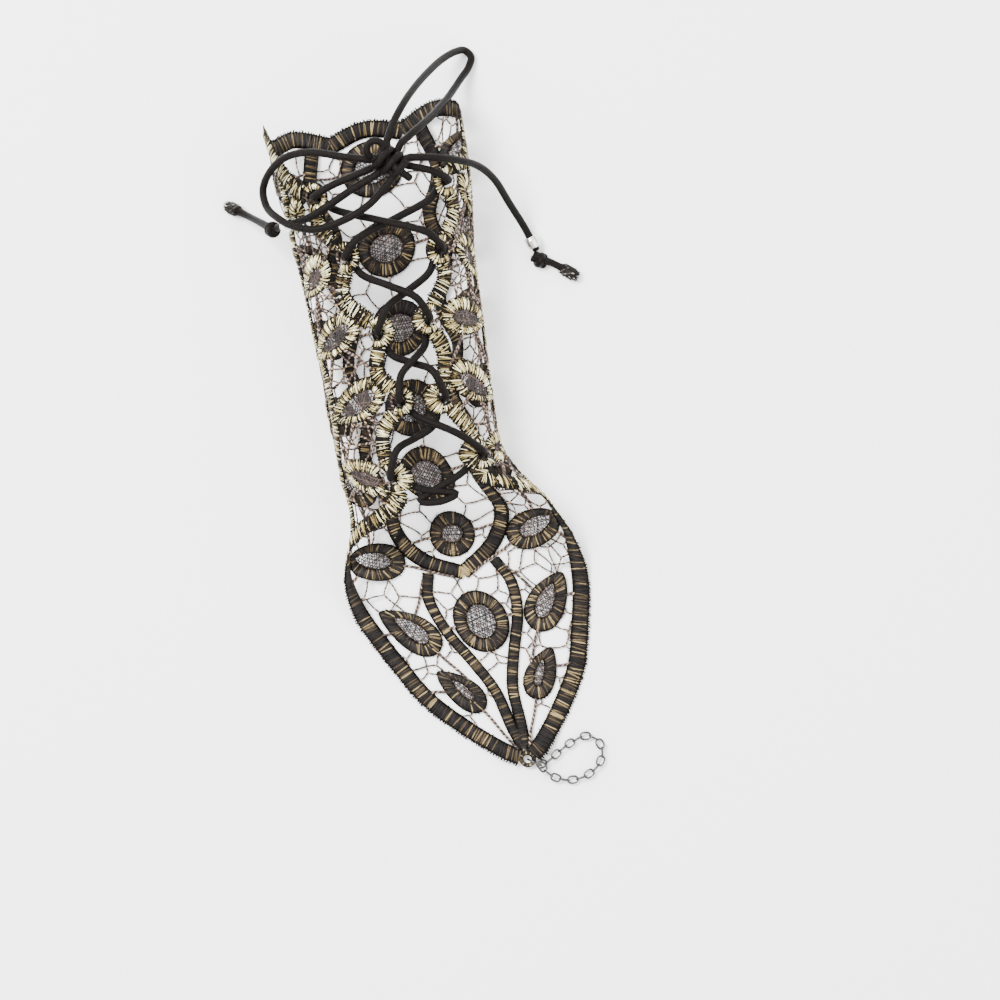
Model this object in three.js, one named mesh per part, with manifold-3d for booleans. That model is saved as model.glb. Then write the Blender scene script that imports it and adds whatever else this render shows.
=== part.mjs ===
// Lace cuff: a pierced lace sleeve laced up the palm side, with a pointed panel and a finger chain.
// Millimetres. +Z is up, +Y runs up the forearm, and the palm side faces up.
// The sheet is charted flat, cut through, and then laid round the wrist.
import * as THREE from "three";
import { mergeVertices } from "three/addons/utils/BufferGeometryUtils.js";
import Module from "manifold-3d";

const wasm = await Module();
wasm.setup();

// Sleeve and hand panel
const cuffLength = 126;
const wristWidth = 58;
const wristHeight = 39;
const panelLength = 99;
const tipShift = 9.5;
const floorSink = 2.5;
const laceWall = 1.6;
const panelTurns = {
  bendFrom: 0.06,
  bendOver: 0.4,
  slantFrom: 0.1,
  slantOver: 0.88,
  liftFrom: 0.86,
  liftOver: 0.1,
};

// Lace motifs
const edgeBand = 5.8;
const stemBand = 5;
const veinBand = 3.8;
const barWidth = 1.3;
const longestBar = 17;
const barSpacing = 7;
const barRoot = 1.2;
const castStep = 0.25;
const paisleyLength = 24;
const paisleyWidth = 15.2;
const ringBand = 4.7;
const paisleyCurl = 0.45;
const dropPinch = 0.35;
const scallopWidth = 10.5;
const eyeletRadius = 2.5;
const tipHoleRadius = 1.7;
const tipStrip = 1;

// Elastic cord, its beads and knots
const cordDiameter = 2.6;
const cordGap = 0.55;
const lacingHook = 17;
const knotGap = 0.7;
const beadDiameter = 4.9;
const beadLength = 4.2;
const endKnotDiameter = 5.6;
const frayDiameter = 4.2;
const frayLength = 6;
const bowKnotLength = 14;
const bowKnotDiameter = 9.4;
const knotTilt = 0.5;
const knotPacking = 0.3;
const wrapSpread = 1.25;

// Jump ring and finger chain
const jumpRingRadius = 2.6;
const jumpRingWire = 0.7;
const linkLength = 4.1;
const linkWidth = 3.1;
const linkWire = 0.7;
const linkOverlap = 1.7;
const ringGap = 0.3;
const ringReach = 0.92;
const ringSpare = 0.05;
const tipClear = 0.6;
const chainSpare = 0.25;

// How finely the shapes are cut
const facetAcross = 16;
const ringSides = 9;
const holeSides = 7;
const cordSides = 8;
const linkSteps = 8;
const wireSides = 5;
const jumpRingSteps = 14;
const jumpRingSides = 6;
const beadSides = 12;
const fraySides = 8;
const wrapSteps = 7;
const wrapSides = 5;

const finishes = {
  lace: { color: 0xb9a878, roughness: 0.45, metalness: 0.45 },
  cord: { color: 0x121213, roughness: 0.5, metalness: 0 },
  silver: { color: 0xc9c9c6, roughness: 0.22, metalness: 1 },
  chain: { color: 0x2b2a2b, roughness: 0.35, metalness: 0.9 },
};

// Sections of the sleeve along the arm: 0 is the palm hem, 1 the forearm edge.
// half and shift are shares of the wrist's width, height of the wrist's height.
const sections = [
  { along: -0.18, half: 0.655, height: 0.84, shift: 0.014 },
  { along: -0.08, half: 0.6, height: 0.87, shift: 0.008 },
  { along: 0, half: 0.527, height: 0.9, shift: -0.03 },
  { along: 0.08, half: 0.494, height: 0.93, shift: -0.072 },
  { along: 0.2, half: 0.496, height: 0.97, shift: -0.068 },
  { along: 0.4, half: 0.507, height: 1.02, shift: -0.042 },
  { along: 0.63, half: 0.528, height: 1.1, shift: -0.012 },
  { along: 0.82, half: 0.576, height: 1.18, shift: 0.006 },
  { along: 1, half: 0.588, height: 1.21, shift: 0.016 },
  { along: 1.08, half: 0.59, height: 1.22, shift: 0.02 },
];

// Eyelets from the forearm to the hem: along the cuff, round from the middle of the back to the
// middle of the palm, and how far the scallop's tip reaches past the eyelet, in scallop widths.
// waist is the deepest point of the edge between this scallop and the next.
const eyelets = {
  left: [
    { along: 0.833, round: 0.761, reach: 0.43, waistAlong: 0.754, waistRound: 0.75 },
    { along: 0.659, round: 0.83, reach: 0.5, waistAlong: 0.556, waistRound: 0.784 },
    { along: 0.444, round: 0.909, reach: 0.62, waistAlong: 0.341, waistRound: 0.875 },
    { along: 0.254, round: 0.955, reach: 0.58, waistAlong: 0.175, waistRound: 0.852 },
    { along: 0.056, round: 0.841, reach: 0.8 },
  ],
  right: [
    { along: 0.802, round: 0.705, reach: 0.48, waistAlong: 0.722, waistRound: 0.682 },
    { along: 0.627, round: 0.761, reach: 0.57, waistAlong: 0.548, waistRound: 0.761 },
    { along: 0.452, round: 0.855, reach: 0.62, waistAlong: 0.357, waistRound: 0.807 },
    { along: 0.238, round: 0.835, reach: 0.78, waistAlong: 0.143, waistRound: 0.739 },
    { along: 0.071, round: 0.705, reach: 0.95 },
  ],
};

// Forearm edge from the first eyelet to the middle of the back
const forearmEdge = {
  left: [
    { along: 0.87, round: 0.68 },
    { along: 0.94, round: 0.61 },
    { along: 1.035, round: 0.52 },
    { along: 1.0, round: 0.42 },
    { along: 1.02, round: 0.28 },
    { along: 0.985, round: 0.14 },
  ],
  right: [
    { along: 0.845, round: 0.64 },
    { along: 0.86, round: 0.56 },
    { along: 0.97, round: 0.5 },
    { along: 1.0, round: 0.42 },
    { along: 1.02, round: 0.28 },
    { along: 0.985, round: 0.14 },
  ],
};

// Hem from the last eyelet down the side of the hand, in shares of the cuff's length
const hemEdge = {
  left: [
    { along: 0.0, round: 0.83 },
    { along: -0.04, round: 0.72 },
    { along: -0.065, round: 0.6 },
    { along: -0.11, round: 0.51 },
  ],
  right: [
    { along: 0.012, round: 0.77 },
    { along: -0.025, round: 0.63 },
    { along: -0.045, round: 0.53 },
    { along: -0.09, round: 0.495 },
  ],
};

// Panel edge from the side of the hand to the tip: down in shares of the panel's length,
// out in shares of the sheet's half girth.
const panelEdge = [
  { down: 0.23, out: 0.48 },
  { down: 0.4, out: 0.435 },
  { down: 0.56, out: 0.37 },
  { down: 0.7, out: 0.3 },
  { down: 0.83, out: 0.185 },
  { down: 0.93, out: 0.075 },
];

// Stems: wavy bands that run the length of the sheet, round as a share of the half girth
const stems = {
  left: [
    { along: 0.94, round: 0.61 },
    { along: 0.82, round: 0.6 },
    { along: 0.7, round: 0.55 },
    { along: 0.6, round: 0.51 },
    { along: 0.48, round: 0.53 },
    { along: 0.37, round: 0.59 },
    { along: 0.24, round: 0.6 },
    { along: 0.13, round: 0.56 },
    { along: 0.03, round: 0.545 },
    { along: -0.07, round: 0.56 },
  ],
  right: [
    { along: 0.86, round: 0.53 },
    { along: 0.75, round: 0.5 },
    { along: 0.65, round: 0.455 },
    { along: 0.53, round: 0.45 },
    { along: 0.4, round: 0.5 },
    { along: 0.28, round: 0.525 },
    { along: 0.17, round: 0.48 },
    { along: 0.05, round: 0.475 },
    { along: -0.06, round: 0.5 },
  ],
};
const backStem = [
  { along: 1.0, round: 0.21 },
  { along: 0.86, round: 0.26 },
  { along: 0.74, round: 0.2 },
  { along: 0.62, round: 0.26 },
  { along: 0.5, round: 0.2 },
  { along: 0.38, round: 0.26 },
  { along: 0.26, round: 0.2 },
  { along: 0.14, round: 0.26 },
  { along: 0.03, round: 0.22 },
  { along: -0.08, round: 0.23 },
  { along: -0.17, round: 0.15 },
  { along: -0.23, round: 0.0 },
];

// Veins of the hand panel, from the back stem to the tip, placed as the panel's edge is
const panelVein = [
  { down: 0.27, out: 0.14 },
  { down: 0.36, out: 0.17 },
  { down: 0.48, out: 0.145 },
  { down: 0.6, out: 0.085 },
  { down: 0.72, out: 0.035 },
  { down: 0.85, out: 0.02 },
  { down: 0.95, out: 0.0 },
];

// Paisleys: place of the ring's middle, turn of its pointed end in degrees from straight across
// towards the back, and size as a share of the paisley's length and width.
const paisleys = {
  left: [
    { along: 0.8, round: 0.66, turn: -80, long: 0.55, wide: 0.6, bars: 4 },
    { along: 0.62, round: 0.655, turn: -42, long: 0.8, wide: 0.95, bars: 5 },
    { along: 0.45, round: 0.7, turn: -30, long: 1.05, wide: 1, bars: 5 },
    { along: 0.265, round: 0.755, turn: -24, long: 1.1, wide: 1.05, bars: 5 },
    { along: 0.07, round: 0.71, turn: 20, long: 0.95, wide: 0.95, bars: 4 },
  ],
  right: [
    { along: 0.76, round: 0.59, turn: -75, long: 0.65, wide: 0.65, bars: 4 },
    { along: 0.59, round: 0.6, turn: -60, long: 0.8, wide: 0.85, bars: 5 },
    { along: 0.43, round: 0.665, turn: -20, long: 1, wide: 1, bars: 5 },
    { along: 0.25, round: 0.67, turn: -36, long: 1.05, wide: 1, bars: 5 },
    { along: 0.08, round: 0.585, turn: 10, long: 0.65, wide: 0.75, bars: 4 },
  ],
};
const backPaisleys = [
  { along: 0.9, round: 0.39, turn: 150, long: 0.9, wide: 1, bars: 4 },
  { along: 0.69, round: 0.375, turn: 150, long: 0.95, wide: 1.05, bars: 3 },
  { along: 0.48, round: 0.365, turn: 150, long: 0.95, wide: 1.05, bars: 3 },
  { along: 0.27, round: 0.39, turn: 150, long: 0.95, wide: 1.05, bars: 3 },
  { along: 0.07, round: 0.38, turn: 150, long: 0.95, wide: 1.05, bars: 3 },
  { along: -0.14, round: 0.34, turn: 155, long: 0.95, wide: 1, bars: 3 },
  { along: -0.35, round: 0.27, turn: 120, long: 0.95, wide: 1, bars: 3 },
  { along: -0.54, round: 0.155, turn: 115, long: 0.8, wide: 0.8, bars: 3 },
];
const medallions = [
  { along: 0.9, long: 0.8, wide: 1.35, bars: 2 },
  { along: 0.68, long: 0.8, wide: 1.35, bars: 2 },
  { along: 0.46, long: 0.8, wide: 1.35, bars: 2 },
  { along: 0.24, long: 0.8, wide: 1.35, bars: 2 },
  { along: 0.054, long: 0.8, wide: 1.35, bars: 2 },
  { along: -0.12, long: 0.65, wide: 1.1, bars: 2 },
  { along: -0.37, long: 0.9, wide: 1.2, bars: 2 },
];

// Routes of the loose cord and of the finger chain: chosen points in millimetres
const bowKnotCentre = [6.8, 111.2, 46.8];
const bowKnotWay = [0.9, -0.42, 0];
const bowPull = { round: 0.93, along: 0.905 };
const hemDip = -0.02;
// The lacing's turns from the forearm to the hem, starting left and starting right: lift is 1 where
// the strand that arrives lies on top at the crossing, enter and leave are shares of the hook.
const lacingTurns = {
  left: [
    { lift: 0, enter: 0, leave: 1 },
    { lift: 1, enter: 1, leave: 1 },
    { lift: -1, enter: 1, leave: 1 },
    { lift: -1, enter: 1, leave: 1 },
    { lift: -1, enter: 1, leave: 0 },
  ],
  right: [
    { lift: 0, enter: 0, leave: 1 },
    { lift: -1, enter: 1, leave: 1 },
    { lift: 1, enter: 1, leave: 1 },
    { lift: 1, enter: 1, leave: 0.5 },
    { lift: 1, enter: 0.2, leave: 0 },
  ],
};
// The lacing's sag below the last eyelets: away from the middle of the palm as a share of the
// half girth, and along the cuff
const lacingSag = [
  { away: -0.09, along: -0.022 },
  { away: 0, along: -0.035 },
  { away: 0.09, along: -0.022 },
];
const cordRoutes = {
  bow_loop_left: [
    [0.2, 113.2, 47],
    [-8, 116.1, 46.6],
    [-18.5, 120.1, 43.6],
    [-26.7, 120.5, 39.2],
    [-33.2, 117.2, 33.4],
    [-36.8, 112.1, 29],
    [-36.8, 106.5, 31],
    [-34, 101.5, 37.4],
    [-29.7, 97.4, 41.6],
    [-22.5, 94.3, 44.4],
    [-13, 94.8, 46.8],
    [-2.6, 98.2, 48],
    [7.6, 105.6, 48.3],
  ],
  bow_loop_right: [
    [7.8, 117.8, 47.2],
    [11.7, 124.1, 46],
    [15.9, 129.4, 42],
    [20.7, 134.6, 34],
    [26.1, 139.5, 24],
    [32.3, 144.1, 13],
    [37.6, 146.4, 5.6],
    [40.7, 146.4, 2.2],
    [42.3, 143.8, 1.7],
    [40.7, 140.5, 2.8],
    [37.1, 136.7, 7.2],
    [31.6, 130.7, 17.5],
    [25.1, 124.7, 31],
    [18.5, 120.1, 41],
    [12.2, 116.2, 45.8],
  ],
  tail_left: [
    [2.2, 107.6, 47.4],
    [-6.9, 104.5, 47.4],
    [-15.8, 101.1, 45.4],
    [-23, 98.8, 42.2],
    [-27.9, 98.3, 38.6],
    [-31.6, 98.3, 34.4],
    [-34.8, 98.6, 29],
  ],
  tail_right: [
    [14.3, 111, 46.6],
    [23, 109.2, 43.4],
    [31.2, 106.8, 36.2],
    [36.5, 104.3, 29],
    [40.7, 99.6, 21.5],
    [44.3, 90.7, 12],
    [47.4, 82.8, 5.8],
    [48.7, 78.5, 4.2],
    [49.9, 74.1, 3.2],
  ],
};
const endRoutes = {
  end_knot_left: [
    [-36.6, 98.7, 25.7],
    [-40.4, 102.6, 16],
    [-44.9, 106.8, 7],
    [-48.7, 110, 2.8],
  ],
  end_knot_right: [
    [50.2, 70.4, 3],
    [53.4, 69, 2.6],
    [56.4, 66.8, 2.2],
    [59.1, 64.4, 2.2],
  ],
};
const beadShare = { tail_left: 0.8, tail_right: 0.92 };
const ringWay = [0.8, -0.6, 0];
const chainRoute = [
  [-0.42, 0.25, 0],
  [3.2, 1.2, -0.1],
  [7.8, 3.8, -0.2],
  [12.6, 5.8, -0.2],
  [17, 6.6, -0.2],
  [20.6, 4.4, -0.2],
  [21.4, 0, -0.2],
  [19, -4.2, -0.2],
  [14, -6.8, -0.2],
  [8.6, -7, -0.2],
  [4, -5.2, 0.3],
  [1.2, -2.4, 1.2],
  [0, 0, 1.5],
];

// Values worked out from the sizes above
const cordRadius = cordDiameter / 2;
const turnRadius = laceWall / 2 + cordGap + cordRadius;
const tipLift = jumpRingWire + tipClear;
const halfGirth =
  sections.reduce((sum, row) => {
    const rise = (row.height * wristHeight + floorSink) / 2;
    return sum + Math.PI * Math.hypot(row.half * wristWidth, rise) * Math.SQRT1_2;
  }, 0) / sections.length;

const clampUnit = (t) => Math.min(1, Math.max(0, t));
const easeUnit = (t) => clampUnit(t) ** 2 * (3 - 2 * clampUnit(t));

// Smooth reading of one column of the section table
function readSection(along, column) {
  const last = sections.length - 1;
  const t = Math.min(sections[last].along, Math.max(sections[0].along, along));
  let i = 0;
  while (i < last - 1 && t > sections[i + 1].along) i += 1;
  const slope = (j) => {
    const before = sections[Math.max(j - 1, 0)];
    const after = sections[Math.min(j + 1, last)];
    return (after[column] - before[column]) / (after.along - before.along);
  };
  const span = sections[i + 1].along - sections[i].along;
  const u = (t - sections[i].along) / span;
  return (
    (2 * u ** 3 - 3 * u ** 2 + 1) * sections[i][column] +
    (u ** 3 - 2 * u ** 2 + u) * slope(i) * span +
    (-2 * u ** 3 + 3 * u ** 2) * sections[i + 1][column] +
    (u ** 3 - u ** 2) * slope(i + 1) * span
  );
}

// Where a point of the flat sheet lies on its outer face: x runs round from the middle of the
// back, y along the arm. Below the hem the sheet opens out and lies flat on the surface.
function layPoint(x, y) {
  const along = y / cuffLength;
  const half = readSection(along, "half") * wristWidth;
  const rise = (readSection(along, "height") * wristHeight + floorSink) / 2;
  const shift = readSection(along, "shift") * wristWidth;
  const share = x / halfGirth;
  const oval = (half - rise) / (half + rise);
  const angle = Math.PI * share - 0.5 * oval * Math.sin(2 * Math.PI * share);
  const worn = new THREE.Vector3(
    shift + half * Math.sin(angle),
    y,
    Math.max(0, rise - floorSink - rise * Math.cos(angle)),
  );
  const down = -y / panelLength;
  const { bendFrom, bendOver, slantFrom, slantOver, liftFrom, liftOver } = panelTurns;
  const lift = tipLift * easeUnit((down - liftFrom) / liftOver);
  const slant = tipShift * clampUnit((down - slantFrom) / slantOver);
  return worn.lerp(new THREE.Vector3(x + slant, y, lift), easeUnit((down - bendFrom) / bendOver));
}

// The same point at a distance out from the outer face (negative goes into the wall)
function sheetPoint(x, y, out) {
  const step = 0.8;
  const across = layPoint(x + step, y).sub(layPoint(x - step, y));
  const along = layPoint(x, y + step).sub(layPoint(x, y - step));
  const outward = across.cross(along).normalize().negate();
  return layPoint(x, y).addScaledVector(outward, out);
}

// Closed mesh to solid, and solid to geometry
function toSolid(geometry) {
  geometry.deleteAttribute("normal");
  geometry.deleteAttribute("uv");
  const merged = mergeVertices(geometry, 1e-4);
  return new wasm.Manifold(
    new wasm.Mesh({
      numProp: 3,
      vertProperties: merged.attributes.position.array,
      triVerts: new Uint32Array(merged.index.array),
    }),
  );
}

function toGeometry(positions, triangles) {
  const geometry = new THREE.BufferGeometry();
  geometry.setAttribute("position", new THREE.BufferAttribute(Float32Array.from(positions), 3));
  geometry.setIndex(triangles);
  geometry.computeVertexNormals();
  return geometry;
}

function fuse(geometries) {
  const solids = geometries.map(toSolid);
  const whole = solids.slice(1).reduce((sum, solid) => sum.add(solid), solids[0]);
  const mesh = whole.getMesh();
  return toGeometry(mesh.vertProperties, Array.from(mesh.triVerts));
}

// Flat motifs of the sheet, as outlines in sheet millimetres
const flat = (x, y) => new THREE.Vector2(x, y);
const bands = [];
const rings = [];
const holes = [];
const bars = [];

function smoothLine(points, perSpan) {
  const line = points.map((p) => new THREE.Vector3(p.x, p.y, 0));
  const curve = new THREE.CatmullRomCurve3(line, false, "catmullrom", 0.5);
  return curve.getPoints((points.length - 1) * perSpan).map((p) => flat(p.x, p.y));
}

function bandOutline(line, width) {
  const left = [];
  const right = [];
  line.forEach((point, i) => {
    const before = line[Math.max(i - 1, 0)];
    const after = line[Math.min(i + 1, line.length - 1)];
    const side = after.clone().sub(before).normalize();
    side.set(-side.y, side.x).multiplyScalar(width / 2);
    left.push(point.clone().add(side));
    right.push(point.clone().sub(side));
  });
  return right.concat(left.reverse());
}

function oval(centre, longHalf, wideHalf, turn, sides) {
  const points = [];
  for (let i = 0; i < sides; i += 1) {
    const a = (2 * Math.PI * i) / sides;
    const point = flat(longHalf * Math.cos(a), wideHalf * Math.sin(a));
    points.push(point.rotateAround(flat(0, 0), turn).add(centre));
  }
  return points;
}

// A drop with its point at angle 0, its tip curled to one side
function drop(centre, longHalf, wideHalf, turn, curl, sides) {
  const points = [];
  for (let i = 0; i < sides; i += 1) {
    const a = (2 * Math.PI * i) / sides;
    const pinch = dropPinch + (1 - dropPinch) * Math.sin(a / 2);
    const bend = curl * wideHalf * ((1 + Math.cos(a)) / 2) ** 2;
    const point = flat(longHalf * Math.cos(a), wideHalf * Math.sin(a) * pinch + bend);
    points.push(point.rotateAround(flat(0, 0), turn).add(centre));
  }
  return points;
}

function inside(point, outline) {
  let odd = false;
  for (let i = 0, j = outline.length - 1; i < outline.length; j = i, i += 1) {
    const a = outline[i];
    const b = outline[j];
    const crosses = a.y > point.y !== b.y > point.y;
    if (crosses && point.x < ((b.x - a.x) * (point.y - a.y)) / (b.y - a.y) + a.x) odd = !odd;
  }
  return odd;
}

// Sheet place of a table row: side is -1 for the left half and 1 for the right
const spot = (row, side) => flat(side * row.round * halfGirth, row.along * cuffLength);
const panelSpot = (row, side) => flat(side * row.out * halfGirth, -row.down * panelLength);

function chartEdges() {
  for (const [name, side] of [
    ["left", -1],
    ["right", 1],
  ]) {
    const edge = forearmEdge[name].map((row) => spot(row, side)).reverse();
    for (const row of eyelets[name]) {
      edge.push(spot(row, side));
      if (row.waistRound) {
        edge.push(spot({ along: row.waistAlong, round: row.waistRound }, side));
      }
      const reach = row.reach * scallopWidth;
      const longHalf = (reach + scallopWidth / 2) / 2;
      const middle = spot(row, side).add(flat(side * (reach - longHalf), 0));
      bands.push(oval(middle, longHalf, scallopWidth / 2, 0, ringSides));
      holes.push(oval(spot(row, side), eyeletRadius, eyeletRadius, 0, holeSides));
    }
    hemEdge[name].forEach((row) => edge.push(spot(row, side)));
    panelEdge.forEach((row) => edge.push(panelSpot(row, side)));
    edge.push(flat(0, tipHoleRadius + tipStrip - panelLength));
    bands.push(bandOutline(smoothLine(edge, 1), edgeBand));
    bands.push(bandOutline(stems[name].map((row) => spot(row, side)), stemBand));
    bands.push(bandOutline(backStem.map((row) => spot(row, side)), stemBand));
    bands.push(bandOutline(panelVein.map((row) => panelSpot(row, side)), veinBand));
  }
  const top = [-1, 1].map((side) => spot(forearmEdge.left.at(-1), side));
  bands.push(bandOutline(smoothLine([top[0], flat(0, 1.01 * cuffLength), top[1]], 2), edgeBand));
  const tip = flat(0, tipHoleRadius + tipStrip - panelLength);
  bands.push(oval(tip, tipHoleRadius + tipStrip, tipHoleRadius + tipStrip, 0, ringSides));
  holes.push(oval(tip, tipHoleRadius, tipHoleRadius, 0, holeSides));
}

function chartRing(row, side, curl) {
  const centre = spot({ round: row.round ?? 0, along: row.along }, side);
  const turn = (Math.PI / 180) * (side > 0 ? 180 - (row.turn ?? 90) : row.turn ?? 90);
  const longHalf = (row.long * paisleyLength) / 2;
  const wideHalf = (row.wide * paisleyWidth) / 2;
  const shape = curl === 0 ? oval : (c, l, w, t, n) => drop(c, l, w, t, -side * curl, n);
  const outer = shape(centre, longHalf, wideHalf, turn, ringSides);
  const inner = shape(centre, longHalf - ringBand, wideHalf - ringBand * 0.9, turn, holeSides);
  rings.push({ outer, centre, turn, bars: row.bars });
  holes.push(inner);
}

// A bar starts on a ring, runs straight out and ends where it meets another motif
function castBars() {
  const motifs = bands.concat(rings.map((ring) => ring.outer));
  for (const ring of rings) {
    for (let i = 0; i < ring.bars; i += 1) {
      const a = ring.turn + (2 * Math.PI * (i + 0.5)) / ring.bars;
      const way = flat(Math.cos(a), Math.sin(a));
      const others = motifs.filter((outline) => outline !== ring.outer);
      const at = (distance) => ring.centre.clone().addScaledVector(way, distance);
      let start = 0;
      while (inside(at(start), ring.outer)) start += castStep;
      let end = start;
      const hits = (distance) => others.some((outline) => inside(at(distance), outline));
      while (end < start + longestBar && !hits(end)) end += castStep;
      const middle = at((start + end) / 2);
      const apart = bars.every((bar) => bar.middle.distanceTo(middle) > barSpacing);
      if (end > start + barWidth && hits(end) && apart) {
        const outline = bandOutline([at(start - barRoot), at(end + barRoot)], barWidth);
        bars.push({ middle, outline });
      }
    }
  }
}

// Cuts every span that is too long for the curve in two, until none is left
function refine(positions, triangles) {
  const points = Array.from(positions);
  let faces = triangles;
  let changed = true;
  while (changed) {
    changed = false;
    const halves = new Map();
    const next = [];
    const middle = (a, b) => {
      const wide = Math.abs(points[3 * a] - points[3 * b]);
      const tall = Math.abs(points[3 * a + 1] - points[3 * b + 1]);
      if (wide < facetAcross && tall < 3 * facetAcross) return -1;
      const key = Math.min(a, b) * 1e6 + Math.max(a, b);
      if (!halves.has(key)) {
        halves.set(key, points.length / 3);
        for (let k = 0; k < 3; k += 1) points.push((points[3 * a + k] + points[3 * b + k]) / 2);
      }
      return halves.get(key);
    };
    for (let i = 0; i < faces.length; i += 3) {
      let [a, b, c] = faces.slice(i, i + 3);
      let [ab, bc, ca] = [middle(a, b), middle(b, c), middle(c, a)];
      const cuts = [ab, bc, ca].filter((m) => m >= 0).length;
      if (cuts > 0) changed = true;
      if (cuts === 0) next.push(a, b, c);
      if (cuts === 3) next.push(a, ab, ca, b, bc, ab, c, ca, bc, ab, bc, ca);
      if (cuts === 1 || cuts === 2) {
        const keep = (m) => (cuts === 1 ? m >= 0 : m < 0);
        while (!keep(ab)) {
          [a, b, c] = [b, c, a];
          [ab, bc, ca] = [bc, ca, ab];
        }
        if (cuts === 1) next.push(a, ab, c, ab, b, c);
        if (cuts === 2) next.push(a, b, bc, a, bc, ca, ca, bc, c);
      }
    }
    faces = next;
  }
  return { points, faces };
}

function slab(outline) {
  const shape = new THREE.Shape(outline);
  return toSolid(new THREE.ExtrudeGeometry(shape, { depth: laceWall, bevelEnabled: false }));
}

function makeLace() {
  chartEdges();
  for (const [name, side] of [
    ["left", -1],
    ["right", 1],
  ]) {
    paisleys[name].forEach((row) => chartRing(row, side, paisleyCurl));
    backPaisleys.forEach((row) => chartRing(row, side, paisleyCurl));
  }
  medallions.forEach((row) => chartRing(row, 1, 0));
  castBars();
  const barOutlines = bars.map((bar) => bar.outline);
  const outlines = bands.concat(rings.map((ring) => ring.outer), barOutlines);
  const whole = outlines.map(slab).reduce((sum, solid) => sum.add(solid));
  const cut = holes.map(slab).reduce((sum, solid) => sum.subtract(solid), whole);
  const mesh = cut.getMesh();
  const { points, faces } = refine(mesh.vertProperties, Array.from(mesh.triVerts));
  const laid = [];
  for (let i = 0; i < points.length; i += 3) {
    laid.push(...sheetPoint(points[i], points[i + 1], points[i + 2] - laceWall).toArray());
  }
  // The chart is seen from inside the sleeve, so its faces turn round as it is laid
  for (let i = 0; i < faces.length; i += 3) [faces[i], faces[i + 1]] = [faces[i + 1], faces[i]];
  return toGeometry(laid, faces);
}

// A smooth route through chosen points, read point by point
class Route extends THREE.CatmullRomCurve3 {
  getUtoTmapping(u) {
    return u;
  }
}

function routeOf(points) {
  return new Route(points.map((p) => (p.isVector3 ? p : new THREE.Vector3(...p))));
}

function tube(points, radius, perSpan, sides = cordSides) {
  const section = new THREE.Shape(oval(flat(0, 0), radius, radius, 0, sides));
  const steps = (points.length - 1) * perSpan;
  return new THREE.ExtrudeGeometry(section, { steps, extrudePath: routeOf(points) });
}

// The cord drops into each eyelet from outside and leaves beneath the scallop's tip
function turnAt(stop, cameFrom, goesTo) {
  const ways = [cameFrom, goesTo].map((to) => to.clone().sub(stop.place).normalize());
  const hook = (Math.PI / 180) * lacingHook * stop.side;
  ways[0].rotateAround(flat(0, 0), hook * stop.enter);
  ways[1].rotateAround(flat(0, 0), -hook * stop.leave);
  const cover = stop.reach + cordDiameter;
  const dips = [
    { way: ways[0], by: cover, rise: 1 },
    { way: ways[0], by: turnRadius, rise: 1 },
    { way: ways[0], by: turnRadius * (1 - Math.SQRT1_2), rise: Math.SQRT1_2 },
    { way: ways[1], by: 0, rise: 0 },
    { way: ways[1], by: turnRadius * (1 - Math.SQRT1_2), rise: -Math.SQRT1_2 },
    { way: ways[1], by: turnRadius, rise: -1 },
    { way: ways[1], by: cover, rise: -1 },
  ];
  return dips.map(({ way, by, rise }) => {
    const at = stop.place.clone().addScaledVector(way, by);
    return sheetPoint(at.x, at.y, rise * turnRadius - laceWall / 2);
  });
}

function makeLacing() {
  const across = flat(2 * halfGirth, 0);
  const crossLift = cordRadius + cordGap;
  const halfLace = (firstSide, turns) => {
    const stops = turns.map((turn, i) => {
      const side = i % 2 === 0 ? firstSide : -firstSide;
      const row = eyelets[side < 0 ? "left" : "right"][i];
      return { ...turn, place: spot(row, side), side, reach: row.reach * scallopWidth };
    });
    const seenFrom = (place, side) => place.clone().addScaledVector(across, side);
    const knotSide = spot(bowPull, 1);
    const points = [];
    stops.forEach((stop, i) => {
      const before = i > 0 ? seenFrom(stops[i - 1].place, stop.side) : knotSide.clone();
      if (i === 0 && stop.side < 0) before.sub(across);
      const sagMiddle = spot({ round: 1, along: hemDip }, stop.side);
      const after = i < stops.length - 1 ? seenFrom(stops[i + 1].place, stop.side) : sagMiddle;
      const turn = turnAt(stop, before, after);
      if (i > 0) {
        const middle = points.at(-1).clone().lerp(turn[0], 0.5);
        points.push(middle.setZ(middle.z + stop.lift * crossLift));
      }
      points.push(...turn);
    });
    const knot = new THREE.Vector3(...bowKnotCentre);
    const pull = points[0].clone().sub(knot).normalize();
    const standOff = (bowKnotLength + bowKnotDiameter) / 4 + knotGap;
    points.unshift(knot.addScaledVector(pull, standOff));
    return points;
  };
  const down = halfLace(-1, lacingTurns.left);
  const up = halfLace(1, lacingTurns.right).reverse();
  const depth = -laceWall / 2 - turnRadius;
  const sag = lacingSag.map((row) =>
    sheetPoint((1 + row.away) * halfGirth, row.along * cuffLength, depth),
  );
  return tube([...down, ...sag, ...up], cordRadius, 1);
}

// Turns a geometry made along +Z to lie along a direction at a place
function aim(geometry, place, direction) {
  const up = new THREE.Vector3(0, 0, 1);
  geometry.applyQuaternion(new THREE.Quaternion().setFromUnitVectors(up, direction));
  return geometry.translate(...place.toArray());
}

function torus(radius, wire, steps, sides) {
  return new THREE.TorusGeometry(radius, wire / 2, sides, steps);
}

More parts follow.
